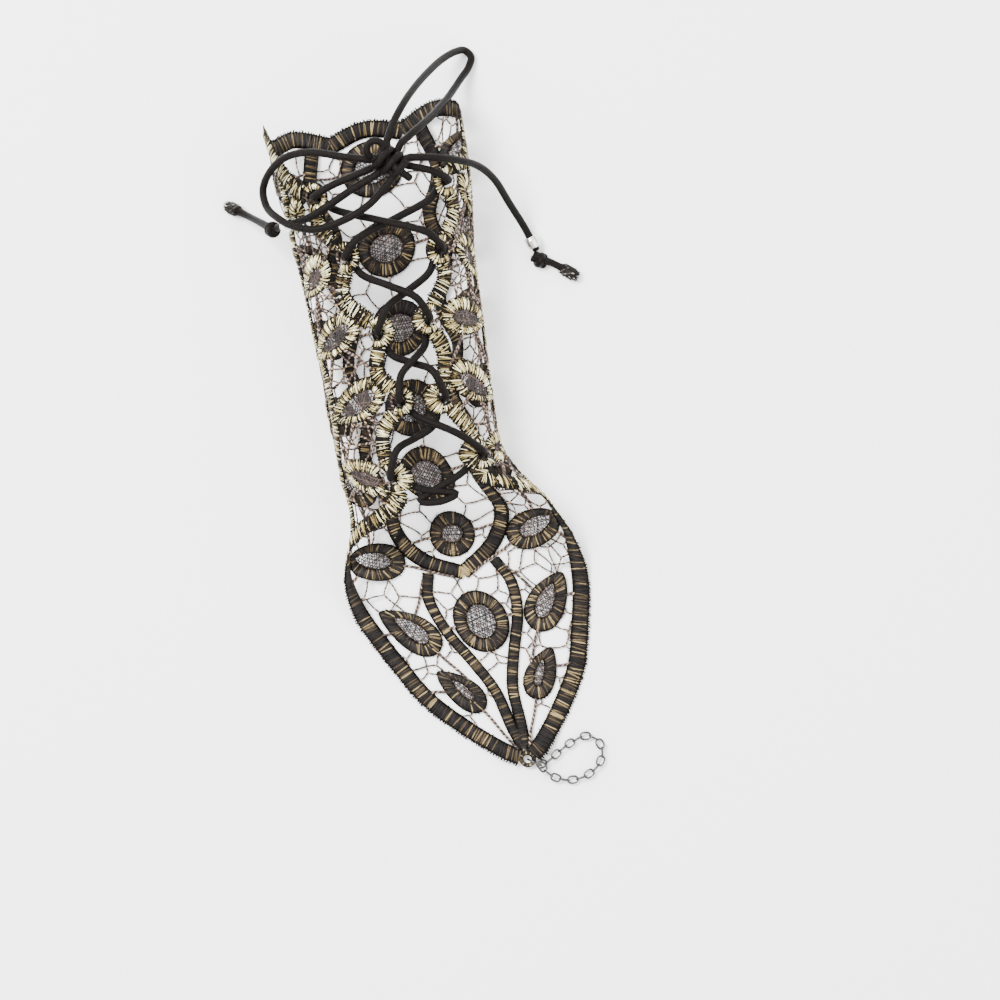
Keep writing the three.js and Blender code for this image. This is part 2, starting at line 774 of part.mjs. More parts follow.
// Two wraps of cord round a core, as a knot is tied
function knotShapes(place, direction, diameter, length) {
  const wrap = (diameter - cordDiameter) / 2;
  const core = new THREE.SphereGeometry(diameter / 2 - knotPacking, 6, 4);
  core.rotateX(Math.PI / 2).scale(1, 1, length / diameter);
  const wraps = [-1, 1].map((end) => {
    const ring = torus(wrap, cordDiameter, wrapSteps, wrapSides).rotateX(end * knotTilt);
    return ring.translate(0, 0, (end * wrapSpread * (length - cordDiameter)) / 4);
  });
  return [core, ...wraps].map((shape) => aim(shape, place, direction));
}

function lathe(profile, sides) {
  const geometry = new THREE.LatheGeometry(profile.map((row) => flat(row.out, row.up)), sides);
  return geometry.rotateX(Math.PI / 2);
}

function makeBead(points, share) {
  const route = routeOf(points);
  const bore = cordRadius + cordGap * 0.75;
  const outer = beadDiameter / 2;
  const end = beadLength / 2;
  const profile = [
    { out: bore, up: end },
    { out: bore, up: -end },
    { out: outer * 0.86, up: -end },
    { out: outer, up: -end * 0.45 },
    { out: outer, up: end * 0.45 },
    { out: outer * 0.86, up: end },
    { out: bore, up: end },
  ];
  return aim(lathe(profile, beadSides), route.getPoint(share), route.getTangent(share));
}

// Stopper knot, the short end behind it, and the frayed tip
function makeEndKnot(points) {
  const route = routeOf(points);
  const knot = knotShapes(route.getPoint(0), route.getTangent(0), endKnotDiameter, endKnotDiameter);
  const fray = frayDiameter / 2;
  const profile = [
    { out: 0, up: -frayLength / 2 },
    { out: fray * 0.7, up: -frayLength * 0.42 },
    { out: fray, up: 0 },
    { out: fray * 0.75, up: frayLength * 0.4 },
    { out: 0, up: frayLength / 2 },
  ];
  const tip = aim(lathe(profile, fraySides), route.getPoint(1), route.getTangent(1));
  return fuse([...knot, tube(points, cordRadius, 1), tip]);
}

function makeBowKnot() {
  const place = new THREE.Vector3(...bowKnotCentre);
  const direction = new THREE.Vector3(...bowKnotWay).normalize();
  return fuse(knotShapes(place, direction, bowKnotDiameter, bowKnotLength));
}

const ringPlace = (() => {
  const tip = sheetPoint(0, tipHoleRadius + tipStrip - panelLength, 0);
  const way = new THREE.Vector3(...ringWay);
  const middle = tip.clone().addScaledVector(way, tipHoleRadius + ringReach * tipStrip);
  middle.z = jumpRingRadius + jumpRingWire / 2 + ringSpare;
  return { middle, way, end: middle.clone().addScaledVector(way, jumpRingRadius) };
})();

function makeJumpRing() {
  const ring = torus(jumpRingRadius, jumpRingWire, jumpRingSteps, jumpRingSides);
  const side = new THREE.Vector3(-ringPlace.way.y, ringPlace.way.x, 0);
  return aim(ring, ringPlace.middle, side);
}

function makeLink() {
  const bend = (linkWidth - linkWire) / 2;
  const ring = torus(bend, linkWire, linkSteps, wireSides);
  const position = ring.getAttribute("position");
  const straight = (linkLength - linkWidth) / 2;
  for (let i = 0; i < position.count; i += 1) {
    const x = position.getX(i);
    if (Math.abs(x) > bend * 0.2) position.setX(i, x + Math.sign(x) * straight);
  }
  return ring;
}

function makeFingerChain() {
  const start = ringPlace.end.clone().setZ(linkWidth / 2 + chainSpare);
  const line = chainRoute.map((p) => new THREE.Vector3(...p).add(start));
  const route = new THREE.CatmullRomCurve3(line, false, "catmullrom", 0.5);
  route.arcLengthDivisions = 600;
  const hook = (linkLength - linkWire) / 2 - (jumpRingWire + linkWire) / 2 - ringGap;
  const run = route.getLength() - 2 * hook;
  const pitch = linkLength - linkOverlap * linkWire;
  const gaps = 2 * Math.round(run / (2 * pitch));
  const links = [];
  for (let i = 0; i <= gaps; i += 1) {
    const share = (hook + (run * i) / gaps) / route.getLength();
    const way = route.getTangentAt(share);
    const level = new THREE.Vector3(-way.y, way.x, 0).normalize();
    const up = new THREE.Vector3().crossVectors(way, level);
    const turned = i % 2 === 0 ? [level, up] : [up, level.negate()];
    const place = new THREE.Matrix4().makeBasis(way, ...turned).setPosition(route.getPointAt(share));
    links.push(makeLink().applyMatrix4(place));
  }
  return fuse(links);
}

const cuff = new THREE.Group();

function addPiece(name, finish, geometry) {
  const mesh = new THREE.Mesh(geometry, new THREE.MeshStandardMaterial(finishes[finish]));
  mesh.name = name;
  cuff.add(mesh);
}

addPiece("lace", "lace", makeLace());
addPiece("lacing_cord", "cord", makeLacing());
addPiece("bow_knot", "cord", makeBowKnot());
for (const [name, points] of Object.entries(cordRoutes)) {
  addPiece(name, "cord", tube(points, cordRadius, 2));
}
for (const [tail, share] of Object.entries(beadShare)) {
  addPiece(tail.replace("tail", "tail_bead"), "silver", makeBead(cordRoutes[tail], share));
}
for (const [name, points] of Object.entries(endRoutes)) {
  addPiece(name, "cord", makeEndKnot(points));
}
addPiece("jump_ring", "chain", makeJumpRing());
addPiece("finger_chain", "chain", makeFingerChain());

export default cuff;
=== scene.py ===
import math
import random

import bpy
import numpy as np
from mathutils import Matrix, Vector


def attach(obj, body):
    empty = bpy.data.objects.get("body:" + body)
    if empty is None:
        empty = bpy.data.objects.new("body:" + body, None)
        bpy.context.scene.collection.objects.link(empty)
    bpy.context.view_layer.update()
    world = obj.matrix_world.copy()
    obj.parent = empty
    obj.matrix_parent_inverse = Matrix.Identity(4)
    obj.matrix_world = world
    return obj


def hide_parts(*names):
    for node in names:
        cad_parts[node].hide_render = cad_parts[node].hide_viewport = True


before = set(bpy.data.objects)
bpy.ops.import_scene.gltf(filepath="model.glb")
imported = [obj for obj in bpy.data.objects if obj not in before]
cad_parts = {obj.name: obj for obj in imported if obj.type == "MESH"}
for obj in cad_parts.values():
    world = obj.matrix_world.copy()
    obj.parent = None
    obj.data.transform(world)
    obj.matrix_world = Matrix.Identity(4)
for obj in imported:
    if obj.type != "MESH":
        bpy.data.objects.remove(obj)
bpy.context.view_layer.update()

mm = 0.001

# The lace sheet is charted flat in millimetres and laid round the wrist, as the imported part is
sheet = {
    "cuffLength": 126, "wristWidth": 58, "wristHeight": 39, "panelLength": 99, "tipShift": 9.5,
    "floorSink": 2.5, "wall": 1.6, "edgeBand": 5.8, "stemBand": 5, "veinBand": 3.8,
    "barWidth": 1.3, "longestBar": 17, "barSpacing": 7, "barRoot": 1.2, "paisleyLength": 24,
    "paisleyWidth": 15.2, "ringBand": 4.7, "scallopWidth": 10.5, "eyeletRadius": 2.5,
    "tipHole": 1.7, "tipStrip": 1, "tipLift": 1.3, "ringSides": 9, "curl": 0.45,
}

# along, half width, height, shift of the sleeve's sections
sections = np.array([
    (-0.18, 0.655, 0.84, 0.014), (-0.08, 0.6, 0.87, 0.008), (0, 0.527, 0.9, -0.03),
    (0.08, 0.494, 0.93, -0.072), (0.2, 0.496, 0.97, -0.068), (0.4, 0.507, 1.02, -0.042),
    (0.63, 0.528, 1.1, -0.012), (0.82, 0.576, 1.18, 0.006), (1, 0.588, 1.21, 0.016),
    (1.08, 0.59, 1.22, 0.02),
])

# along, round, reach of the scallop, then the waist after it
eyelets = {
    -1: [(0.833, 0.761, 0.43, 0.754, 0.75), (0.659, 0.83, 0.5, 0.556, 0.784),
         (0.444, 0.909, 0.62, 0.341, 0.875), (0.254, 0.955, 0.58, 0.175, 0.852),
         (0.056, 0.841, 0.8, None, None)],
    1: [(0.802, 0.705, 0.48, 0.722, 0.682), (0.627, 0.761, 0.57, 0.548, 0.761),
        (0.452, 0.855, 0.62, 0.357, 0.807), (0.238, 0.835, 0.78, 0.143, 0.739),
        (0.071, 0.705, 0.95, None, None)],
}
forearmEdge = {
    -1: [(0.87, 0.68), (0.94, 0.61), (1.035, 0.52), (1.0, 0.42), (1.02, 0.28), (0.985, 0.14)],
    1: [(0.845, 0.64), (0.86, 0.56), (0.97, 0.5), (1.0, 0.42), (1.02, 0.28), (0.985, 0.14)],
}
hemEdge = {
    -1: [(0.0, 0.83), (-0.04, 0.72), (-0.065, 0.6), (-0.11, 0.51)],
    1: [(0.012, 0.77), (-0.025, 0.63), (-0.045, 0.53), (-0.09, 0.495)],
}
panelEdge = [(0.23, 0.48), (0.4, 0.435), (0.56, 0.37), (0.7, 0.3), (0.83, 0.185), (0.93, 0.075)]
stems = {
    -1: [(0.94, 0.61), (0.82, 0.6), (0.7, 0.55), (0.6, 0.51), (0.48, 0.53), (0.37, 0.59),
         (0.24, 0.6), (0.13, 0.56), (0.03, 0.545), (-0.07, 0.56)],
    1: [(0.86, 0.53), (0.75, 0.5), (0.65, 0.455), (0.53, 0.45), (0.4, 0.5), (0.28, 0.525),
        (0.17, 0.48), (0.05, 0.475), (-0.06, 0.5)],
}
backStem = [(1.0, 0.21), (0.86, 0.26), (0.74, 0.2), (0.62, 0.26), (0.5, 0.2), (0.38, 0.26),
            (0.26, 0.2), (0.14, 0.26), (0.03, 0.22), (-0.08, 0.23), (-0.17, 0.15), (-0.23, 0.0)]
panelVein = [(0.27, 0.14), (0.36, 0.17), (0.48, 0.145), (0.6, 0.085), (0.72, 0.035),
             (0.85, 0.02), (0.95, 0.0)]

# along, round, turn, long, wide, bars
paisleys = {
    -1: [(0.8, 0.66, -80, 0.55, 0.6, 4), (0.62, 0.655, -42, 0.8, 0.95, 5),
         (0.45, 0.7, -30, 1.05, 1, 5), (0.265, 0.755, -24, 1.1, 1.05, 5),
         (0.07, 0.71, 20, 0.95, 0.95, 4)],
    1: [(0.76, 0.59, -75, 0.65, 0.65, 4), (0.59, 0.6, -60, 0.8, 0.85, 5),
        (0.43, 0.665, -20, 1, 1, 5), (0.25, 0.67, -36, 1.05, 1, 5),
        (0.08, 0.585, 10, 0.65, 0.75, 4)],
}
backPaisleys = [
    (0.9, 0.39, 150, 0.9, 1, 4), (0.69, 0.375, 150, 0.95, 1.05, 3),
    (0.48, 0.365, 150, 0.95, 1.05, 3), (0.27, 0.39, 150, 0.95, 1.05, 3),
    (0.07, 0.38, 150, 0.95, 1.05, 3), (-0.14, 0.34, 155, 0.95, 1, 3),
    (-0.35, 0.27, 120, 0.95, 1, 3), (-0.54, 0.155, 115, 0.8, 0.8, 3),
]
medallions = [(0.9, 0.8, 1.35, 2), (0.68, 0.8, 1.35, 2), (0.46, 0.8, 1.35, 2),
              (0.24, 0.8, 1.35, 2), (0.054, 0.8, 1.35, 2), (-0.12, 0.65, 1.1, 2),
              (-0.37, 0.9, 1.2, 2)]


def sectionRadii(along):
    table = [readSection(along, column) for column in (1, 2, 3)]
    half = table[0] * sheet["wristWidth"]
    rise = (table[1] * sheet["wristHeight"] + sheet["floorSink"]) / 2
    return half, rise, table[2] * sheet["wristWidth"]


def readSection(along, column):
    t = np.clip(along, sections[0, 0], sections[-1, 0])
    last = len(sections) - 1
    i = np.clip(np.searchsorted(sections[:, 0], t, side="left") - 1, 0, last - 1)
    before = np.maximum(np.arange(last + 1) - 1, 0)
    after = np.minimum(np.arange(last + 1) + 1, last)
    rise = sections[after, column] - sections[before, column]
    slope = rise / (sections[after, 0] - sections[before, 0])
    span = sections[i + 1, 0] - sections[i, 0]
    u = (t - sections[i, 0]) / span
    return ((2 * u**3 - 3 * u**2 + 1) * sections[i, column]
            + (u**3 - 2 * u**2 + u) * slope[i] * span
            + (-2 * u**3 + 3 * u**2) * sections[i + 1, column]
            + (u**3 - u**2) * slope[i + 1] * span)


rowRise = (sections[:, 2] * sheet["wristHeight"] + sheet["floorSink"]) / 2
rowHalf = sections[:, 1] * sheet["wristWidth"]
halfGirth = float(np.mean(math.pi * np.hypot(rowHalf, rowRise) * math.sqrt(0.5)))


def ease(t):
    t = np.clip(t, 0, 1)
    return t * t * (3 - 2 * t)


def layPoints(x, y):
    half, rise, shift = sectionRadii(y / sheet["cuffLength"])
    share = x / halfGirth
    oval = (half - rise) / (half + rise)
    angle = math.pi * share - 0.5 * oval * np.sin(2 * math.pi * share)
    up = np.maximum(0, rise - sheet["floorSink"] - rise * np.cos(angle))
    worn = np.stack([shift + half * np.sin(angle), y, up], axis=-1)
    down = -y / sheet["panelLength"]
    lift = sheet["tipLift"] * ease((down - 0.86) / 0.1)
    slide = sheet["tipShift"] * np.clip((down - 0.1) / 0.88, 0, 1)
    flat = np.stack([x + slide, y, lift], axis=-1)
    mix = ease((down - 0.06) / 0.4)[..., None]
    return worn * (1 - mix) + flat * mix


def unit(v):
    return v / np.maximum(np.linalg.norm(v, axis=-1, keepdims=True), 1e-9)


def outwardAt(x, y):
    step = 0.8
    across = layPoints(x + step, y) - layPoints(x - step, y)
    along = layPoints(x, y + step) - layPoints(x, y - step)
    return -unit(np.cross(across, along))


def sheetPoints(flat, out):
    flat = np.asarray(flat, dtype=float)
    x, y = flat[..., 0], flat[..., 1]
    return layPoints(x, y) + outwardAt(x, y) * np.asarray(out)[..., None]


def spot(along, around, side):
    return np.array([side * around * halfGirth, along * sheet["cuffLength"]])


def panelSpot(down, out, side):
    return np.array([side * out * halfGirth, -down * sheet["panelLength"]])


# Smooth lines through chosen points, uniform for the sheet and centripetal for cords
def smoothRoute(points, perSpan, power=0.0):
    p = np.asarray(points, dtype=float)
    p = np.vstack([2 * p[0] - p[1], p, 2 * p[-1] - p[-2]])
    made = []
    for i in range(1, len(p) - 2):
        x0, x1, x2, x3 = p[i - 1:i + 3]
        d = [max(np.linalg.norm(b - a), 1e-6) ** power for a, b in ((x0, x1), (x1, x2), (x2, x3))]
        t1 = ((x1 - x0) / d[0] - (x2 - x0) / (d[0] + d[1]) + (x2 - x1) / d[1]) * d[1]
        t2 = ((x2 - x1) / d[1] - (x3 - x1) / (d[1] + d[2]) + (x3 - x2) / d[2]) * d[1]
        for u in np.arange(perSpan) / perSpan:
            made.append(x1 + t1 * u + (-3 * x1 + 3 * x2 - 2 * t1 - t2) * u * u
                        + (2 * x1 - 2 * x2 + t1 + t2) * u**3)
    made.append(p[-2])
    return np.array(made)


def evenly(line, pitch, closed=False):
    if closed:
        line = np.vstack([line, line[:1]])
    steps = np.linalg.norm(np.diff(line, axis=0), axis=1)
    at = np.concatenate([[0], np.cumsum(steps)])
    count = max(2, int(round(at[-1] / pitch)))
    want = np.linspace(0, at[-1], count + 1)
    if closed:
        want = want[:-1]
    return np.stack([np.interp(want, at, line[:, k]) for k in range(line.shape[1])], axis=1)


def leftNormals(line, closed=False):
    if closed:
        way = np.roll(line, -1, axis=0) - np.roll(line, 1, axis=0)
    else:
        way = np.gradient(line, axis=0)
    way = unit(way)
    return np.stack([-way[:, 1], way[:, 0]], axis=1)


def ovalPoints(centre, longHalf, wideHalf, turn, sides):
    a = 2 * math.pi * np.arange(sides) / sides
    return turned(np.stack([longHalf * np.cos(a), wideHalf * np.sin(a)], axis=1), turn) + centre


def dropPoints(centre, longHalf, wideHalf, turn, curl, sides):
    a = 2 * math.pi * np.arange(sides) / sides
    pinch = 0.35 + 0.65 * np.sin(a / 2)
    bend = curl * wideHalf * ((1 + np.cos(a)) / 2) ** 2
    points = np.stack([longHalf * np.cos(a), wideHalf * np.sin(a) * pinch + bend], axis=1)
    return turned(points, turn) + centre


def turned(points, turn):
    c, s = math.cos(turn), math.sin(turn)
    return np.stack([points[:, 0] * c - points[:, 1] * s, points[:, 0] * s + points[:, 1] * c],
                    axis=1)


def insideOutline(points, outline):
    points = np.atleast_2d(points)
    odd = np.zeros(len(points), dtype=bool)
    lo, hi = outline.min(axis=0), outline.max(axis=0)
    near = np.all((points >= lo) & (points <= hi), axis=1)
    if not near.any():
        return odd
    p = points[near]
    hit = np.zeros(len(p), dtype=bool)
    for a, b in zip(outline, np.roll(outline, 1, axis=0)):
        if a[1] == b[1]:
            continue
        crosses = (a[1] > p[:, 1]) != (b[1] > p[:, 1])
        hit ^= crosses & (p[:, 0] < (b[0] - a[0]) * (p[:, 1] - a[1]) / (b[1] - a[1]) + a[0])
    odd[near] = hit
    return odd


def bandOutline(line, width):
    way = np.array([line[min(i + 1, len(line) - 1)] - line[max(i - 1, 0)] for i in range(len(line))])
    way = unit(way)
    side = np.stack([-way[:, 1], way[:, 0]], axis=1) * width / 2
    return np.vstack([line - side, (line + side)[::-1]])


# Every motif as pairs of points on its two edges, one pair for each stitch
stitchPitch = 0.46
motifs = {"scallops": [], "edges": [], "rings": [], "stems": []}
coarse = []
coarseRings = []
holes = []
edgeLines = []


def bandPairs(line, width):
    smooth = evenly(smoothRoute(line, 10), stitchPitch)
    normal = leftNormals(smooth)
    return smooth + normal * width / 2, smooth - normal * width / 2


def ringPairs(outer, inner):
    middle = (outer + inner) / 2
    packed = evenly(np.hstack([middle, outer, inner]), stitchPitch, closed=True)
    return packed[:, 2:4], packed[:, 4:6]


def radialPairs(centre, radius, oval):
    rim = centre + unit(oval - centre) * radius
    return ringPairs(oval, rim)


# A scallop's stitches fan round the tip and leave the arm's side of the eyelet open
def fanKeep(pairs, centre, side):
    away = unit((pairs[0] + pairs[1]) / 2 - centre)
    return away[:, 0] * side > -math.cos(math.radians(scallopFan["open"]))


scallopFan = {"open": 52, "arcOut": 0.75, "arcSteps": 5}
scallopKeeps = []
scallopArcs = []


def chartEdges():
    tipReach = sheet["tipHole"] + sheet["tipStrip"]
    tip = np.array([0, tipReach - sheet["panelLength"]])
    for side in (-1, 1):
        edge = [spot(a, r, side) for a, r in forearmEdge[side]][::-1]
        for along, around, reach, waistAlong, waistRound in eyelets[side]:
            centre = spot(along, around, side)
            edge.append(centre)
            if waistRound:
                edge.append(spot(waistAlong, waistRound, side))
            out = reach * sheet["scallopWidth"]
            longHalf = (out + sheet["scallopWidth"] / 2) / 2
            middle = centre + np.array([side * (out - longHalf), 0])
            oval = ovalPoints(middle, longHalf, sheet["scallopWidth"] / 2, 0, 48)
            pairs = radialPairs(centre, sheet["eyeletRadius"] - 0.15, oval)
            motifs["scallops"].append(pairs)
            scallopKeeps.append(fanKeep(pairs, centre, side))
            turnTo = np.radians(np.linspace(-1, 1, scallopFan["arcSteps"]) * scallopFan["open"])
            arc = np.stack([-side * np.cos(turnTo), np.sin(turnTo)], axis=1)
            scallopArcs.append(centre + arc * (sheet["eyeletRadius"] + scallopFan["arcOut"]))
            coarse.append(ovalPoints(middle, longHalf, sheet["scallopWidth"] / 2, 0,
                                     sheet["ringSides"]))
            holes.append(ovalPoints(centre, sheet["eyeletRadius"], sheet["eyeletRadius"], 0, 24))
        edge += [spot(a, r, side) for a, r in hemEdge[side]]
        edge += [panelSpot(down, out, side) for down, out in panelEdge]
        edge.append(tip)
        edge = np.array(edge)
        edgeLines.append(edge)
        motifs["edges"].append(bandPairs(edge, sheet["edgeBand"] - 0.5))
        coarse.append(bandOutline(edge, sheet["edgeBand"]))
        stemLines = [(np.array([spot(a, r, side) for a, r in rows]), sheet["stemBand"])
                     for rows in (stems[side], backStem)]
        vein = np.array([panelSpot(down, out, side) for down, out in panelVein])
        for line, width in stemLines + [(vein, sheet["veinBand"])]:
            motifs["stems"].append(bandPairs(line, width - 0.3))
            coarse.append(bandOutline(line, width))
    ends = [spot(*forearmEdge[-1][-1], side) for side in (-1, 1)]
    top = np.array([ends[0], [0, 1.01 * sheet["cuffLength"]], ends[1]])
    motifs["edges"].append(bandPairs(top, sheet["edgeBand"] - 0.5))
    coarse.append(bandOutline(smoothRoute(top, 2), sheet["edgeBand"]))
    tipPairs = radialPairs(tip, sheet["tipHole"] - 0.1, ovalPoints(tip, tipReach, tipReach, 0, 32))
    motifs["scallops"].append(tipPairs)
    scallopKeeps.append(np.ones(len(tipPairs[0]), dtype=bool))
    coarse.append(ovalPoints(tip, tipReach, tipReach, 0, sheet["ringSides"]))
    holes.append(ovalPoints(tip, sheet["tipHole"], sheet["tipHole"], 0, 20))


def chartRing(along, around, turn, long, wide, bars, side, curl):
    centre = spot(along, around, side)
    angle = math.radians(180 - turn if side > 0 else turn)
    longHalf = long * sheet["paisleyLength"] / 2
    wideHalf = wide * sheet["paisleyWidth"] / 2

    def shape(less, lessWide, sides):
        if curl == 0:
            return ovalPoints(centre, longHalf - less, wideHalf - lessWide, angle, sides)
        return dropPoints(centre, longHalf - less, wideHalf - lessWide, angle, -side * curl, sides)

    band = sheet["ringBand"]
    motifs["rings"].append(ringPairs(shape(0, 0, 72), shape(band, band * 0.9, 72)))
    holes.append(shape(band, band * 0.9, 36))
    coarseRings.append((shape(0, 0, sheet["ringSides"]), centre, angle, bars))


def castBars():
    found = []
    outlines = coarse + [ring[0] for ring in coarseRings]
    for ring, centre, turn, count in coarseRings:
        others = [outline for outline in outlines if outline is not ring]
        for i in range(count):
            a = turn + 2 * math.pi * (i + 0.5) / count
            way = np.array([math.cos(a), math.sin(a)])
            run = np.arange(0, 45, 0.25)
            line = centre + way * run[:, None]
            own = insideOutline(line, ring)
            first = int(np.argmin(own))
            met = np.zeros(len(run), dtype=bool)
            for outline in others:
                met |= insideOutline(line, outline)
            last = first
            while run[last] < run[first] + sheet["longestBar"] and not met[last]:
                last += 1
            middle = centre + way * (run[first] + run[last]) / 2
            apart = all(np.linalg.norm(bar[2] - middle) > sheet["barSpacing"] for bar in found)
            if run[last] > run[first] + sheet["barWidth"] and met[last] and apart:
                found.append((centre + way * (run[first] - sheet["barRoot"]),
                              centre + way * (run[last] + sheet["barRoot"]), middle))
    return found


chartEdges()
for side in (-1, 1):
    for row in paisleys[side] + backPaisleys:
        chartRing(*row, side, sheet["curl"])
for along, long, wide, bars in medallions:
    chartRing(along, 0, 90, long, wide, bars, 1, 0)
bars = castBars()

# Fine bars, three to a node, in the open spaces that the main bars leave
brides = {"grid": 4.4, "apart": 3.9, "longest": 9.5, "shortest": 0.9, "ways": 24, "seed": 23}


def castBrides():
    rng = np.random.default_rng(brides["seed"])
    outlines = coarse + [ring[0] for ring in coarseRings]
    outlines += [bandOutline(np.array([a, b]), sheet["barWidth"]) for a, b, _ in bars]
    border = np.vstack([smoothRoute(edgeLines[0], 4), smoothRoute(edgeLines[1], 4)[::-1]])
    lo, hi = border.min(axis=0), border.max(axis=0)
    gridX, gridY = np.meshgrid(np.arange(lo[0], hi[0], brides["grid"]),
                               np.arange(lo[1], hi[1], brides["grid"]))
    sites = np.stack([gridX.ravel(), gridY.ravel()], axis=1)
    sites += rng.uniform(-0.5, 0.5, sites.shape) * brides["grid"]
    free = insideOutline(sites, border)
    for outline in outlines:
        free &= ~insideOutline(sites, outline)
    sites = sites[free]
    angles = 2 * math.pi * np.arange(brides["ways"]) / brides["ways"]
    ways = np.stack([np.cos(angles), np.sin(angles)], axis=1)
    run = np.arange(0.25, brides["longest"], 0.25)
    line = sites[:, None, None] + ways[None, :, None] * run[None, None, :, None]
    met = np.zeros(line.shape[0] * line.shape[1] * line.shape[2], dtype=bool)
    flat = line.reshape(-1, 2)
    for outline in outlines:
        met |= insideOutline(flat, outline)
    met = met.reshape(line.shape[:3])
    reach = np.where(met.any(axis=2), run[np.argmax(met, axis=2)], np.inf)
    third = brides["ways"] // 3
    found, nodes = [], []
    for site, lengths in zip(sites, reach):
        sums = [lengths[k] + lengths[k + third] + lengths[k + 2 * third] for k in range(third)]
        best = int(np.argmin(sums))
        chosen = [best, best + third, best + 2 * third]
        clear = all(np.linalg.norm(site - node) > brides["apart"] for node in nodes)
        if not np.isfinite(sums[best]) or not clear or lengths.min() < brides["shortest"]:
            continue
        nodes.append(site)
        found += [(site, site + ways[k] * (lengths[k] + 0.5)) for k in chosen]
    return found


fineBars = castBrides()


# Shortens or drops the stitches of a motif where another one lies over it
def clipPairs(pairs, blockers):
    a, b = pairs
    shares = np.linspace(0, 1, 13)
    spread = a[:, None, :] * (1 - shares[None, :, None]) + b[:, None, :] * shares[None, :, None]
    flat = spread.reshape(-1, 2)
    blocked = np.zeros(len(flat), dtype=bool)
    for outline in blockers:
        blocked |= insideOutline(flat, outline)
    blocked = blocked.reshape(spread.shape[:2])
    keep = np.zeros(len(a), dtype=bool)
    newA, newB = a.copy(), b.copy()
    for i, row in enumerate(blocked):
        if not row.any():
            keep[i] = True
            continue
        best, run = (0, 0), 0
        for k, hit in enumerate(row):
            run = 0 if hit else run + 1
            if run > best[1] - best[0]:
                best = (k + 1 - run, k + 1)
        if best[1] - best[0] < 2:
            continue
        newA[i], newB[i] = spread[i, best[0]], spread[i, best[1] - 1]
        keep[i] = np.linalg.norm(newA[i] - newB[i]) > 1.1
    return newA, newB, keep


def outlineOf(pairs, closed):
    step = 5
    a, b = pairs[0][::step], pairs[1][::step]
    return a if closed else np.vstack([a, b[::-1]])


scallopShapes = [outlineOf(pairs, True) for pairs in motifs["scallops"]]
edgeShapes = [outlineOf(pairs, False) for pairs in motifs["edges"]]
ringShapes = [outlineOf(pairs, True) for pairs in motifs["rings"]]
laid = {
    "scallops": [(*pairs, keep) for pairs, keep in zip(motifs["scallops"], scallopKeeps)],
    "edges": [clipPairs(pairs, scallopShapes + holes) for pairs in motifs["edges"]],
    "rings": [clipPairs(pairs, scallopShapes + edgeShapes) for pairs in motifs["rings"]],
    "stems": [clipPairs(pairs, scallopShapes + edgeShapes + ringShapes + holes)
              for pairs in motifs["stems"]],
}
print("chart:", {name: sum(int(m[2].sum()) for m in made) for name, made in laid.items()},
      "stitches,", len(bars), "bars,", len(fineBars), "fine bars")

# Camera, at the photo's angle
view = {"centre": (19.2, -7.7, 23), "turn": 12.4, "lens": 200, "span": 0.34, "lean": 1.0}


def makeCamera():
    data = bpy.data.cameras.new("camera")
    data.lens = view["lens"]
    camera = bpy.data.objects.new("camera", data)
    bpy.context.collection.objects.link(camera)
    turn, lean = math.radians(view["turn"]), math.radians(view["lean"])
    right = Vector((math.cos(turn), -math.sin(turn), 0))
    ahead = Vector((math.sin(turn), math.cos(turn), 0))
    back = Vector((0, 0, math.cos(lean))) - ahead * math.sin(lean)
    up = back.cross(right)
    distance = view["span"] * view["lens"] / data.sensor_width
    place = Vector(view["centre"]) * mm + back * distance
    rotation = Matrix((right, up, back)).transposed().to_4x4()
    camera.matrix_world = Matrix.Translation(place) @ rotation
    data.clip_start, data.clip_end = 0.05, 20
    bpy.context.scene.camera = camera


makeCamera()

# Cords, in millimetres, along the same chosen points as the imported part
cord = {"diameter": 2.6, "gap": 0.55, "sides": 14, "beadDiameter": 4.9, "beadLength": 4.2,
        "frayDiameter": 4.2, "frayLength": 6, "knotLength": 14,
        "knotDiameter": 9.4, "knotGap": 0.7, "hook": 17,
        "pull": (0.93, 0.905), "hemDip": -0.02}

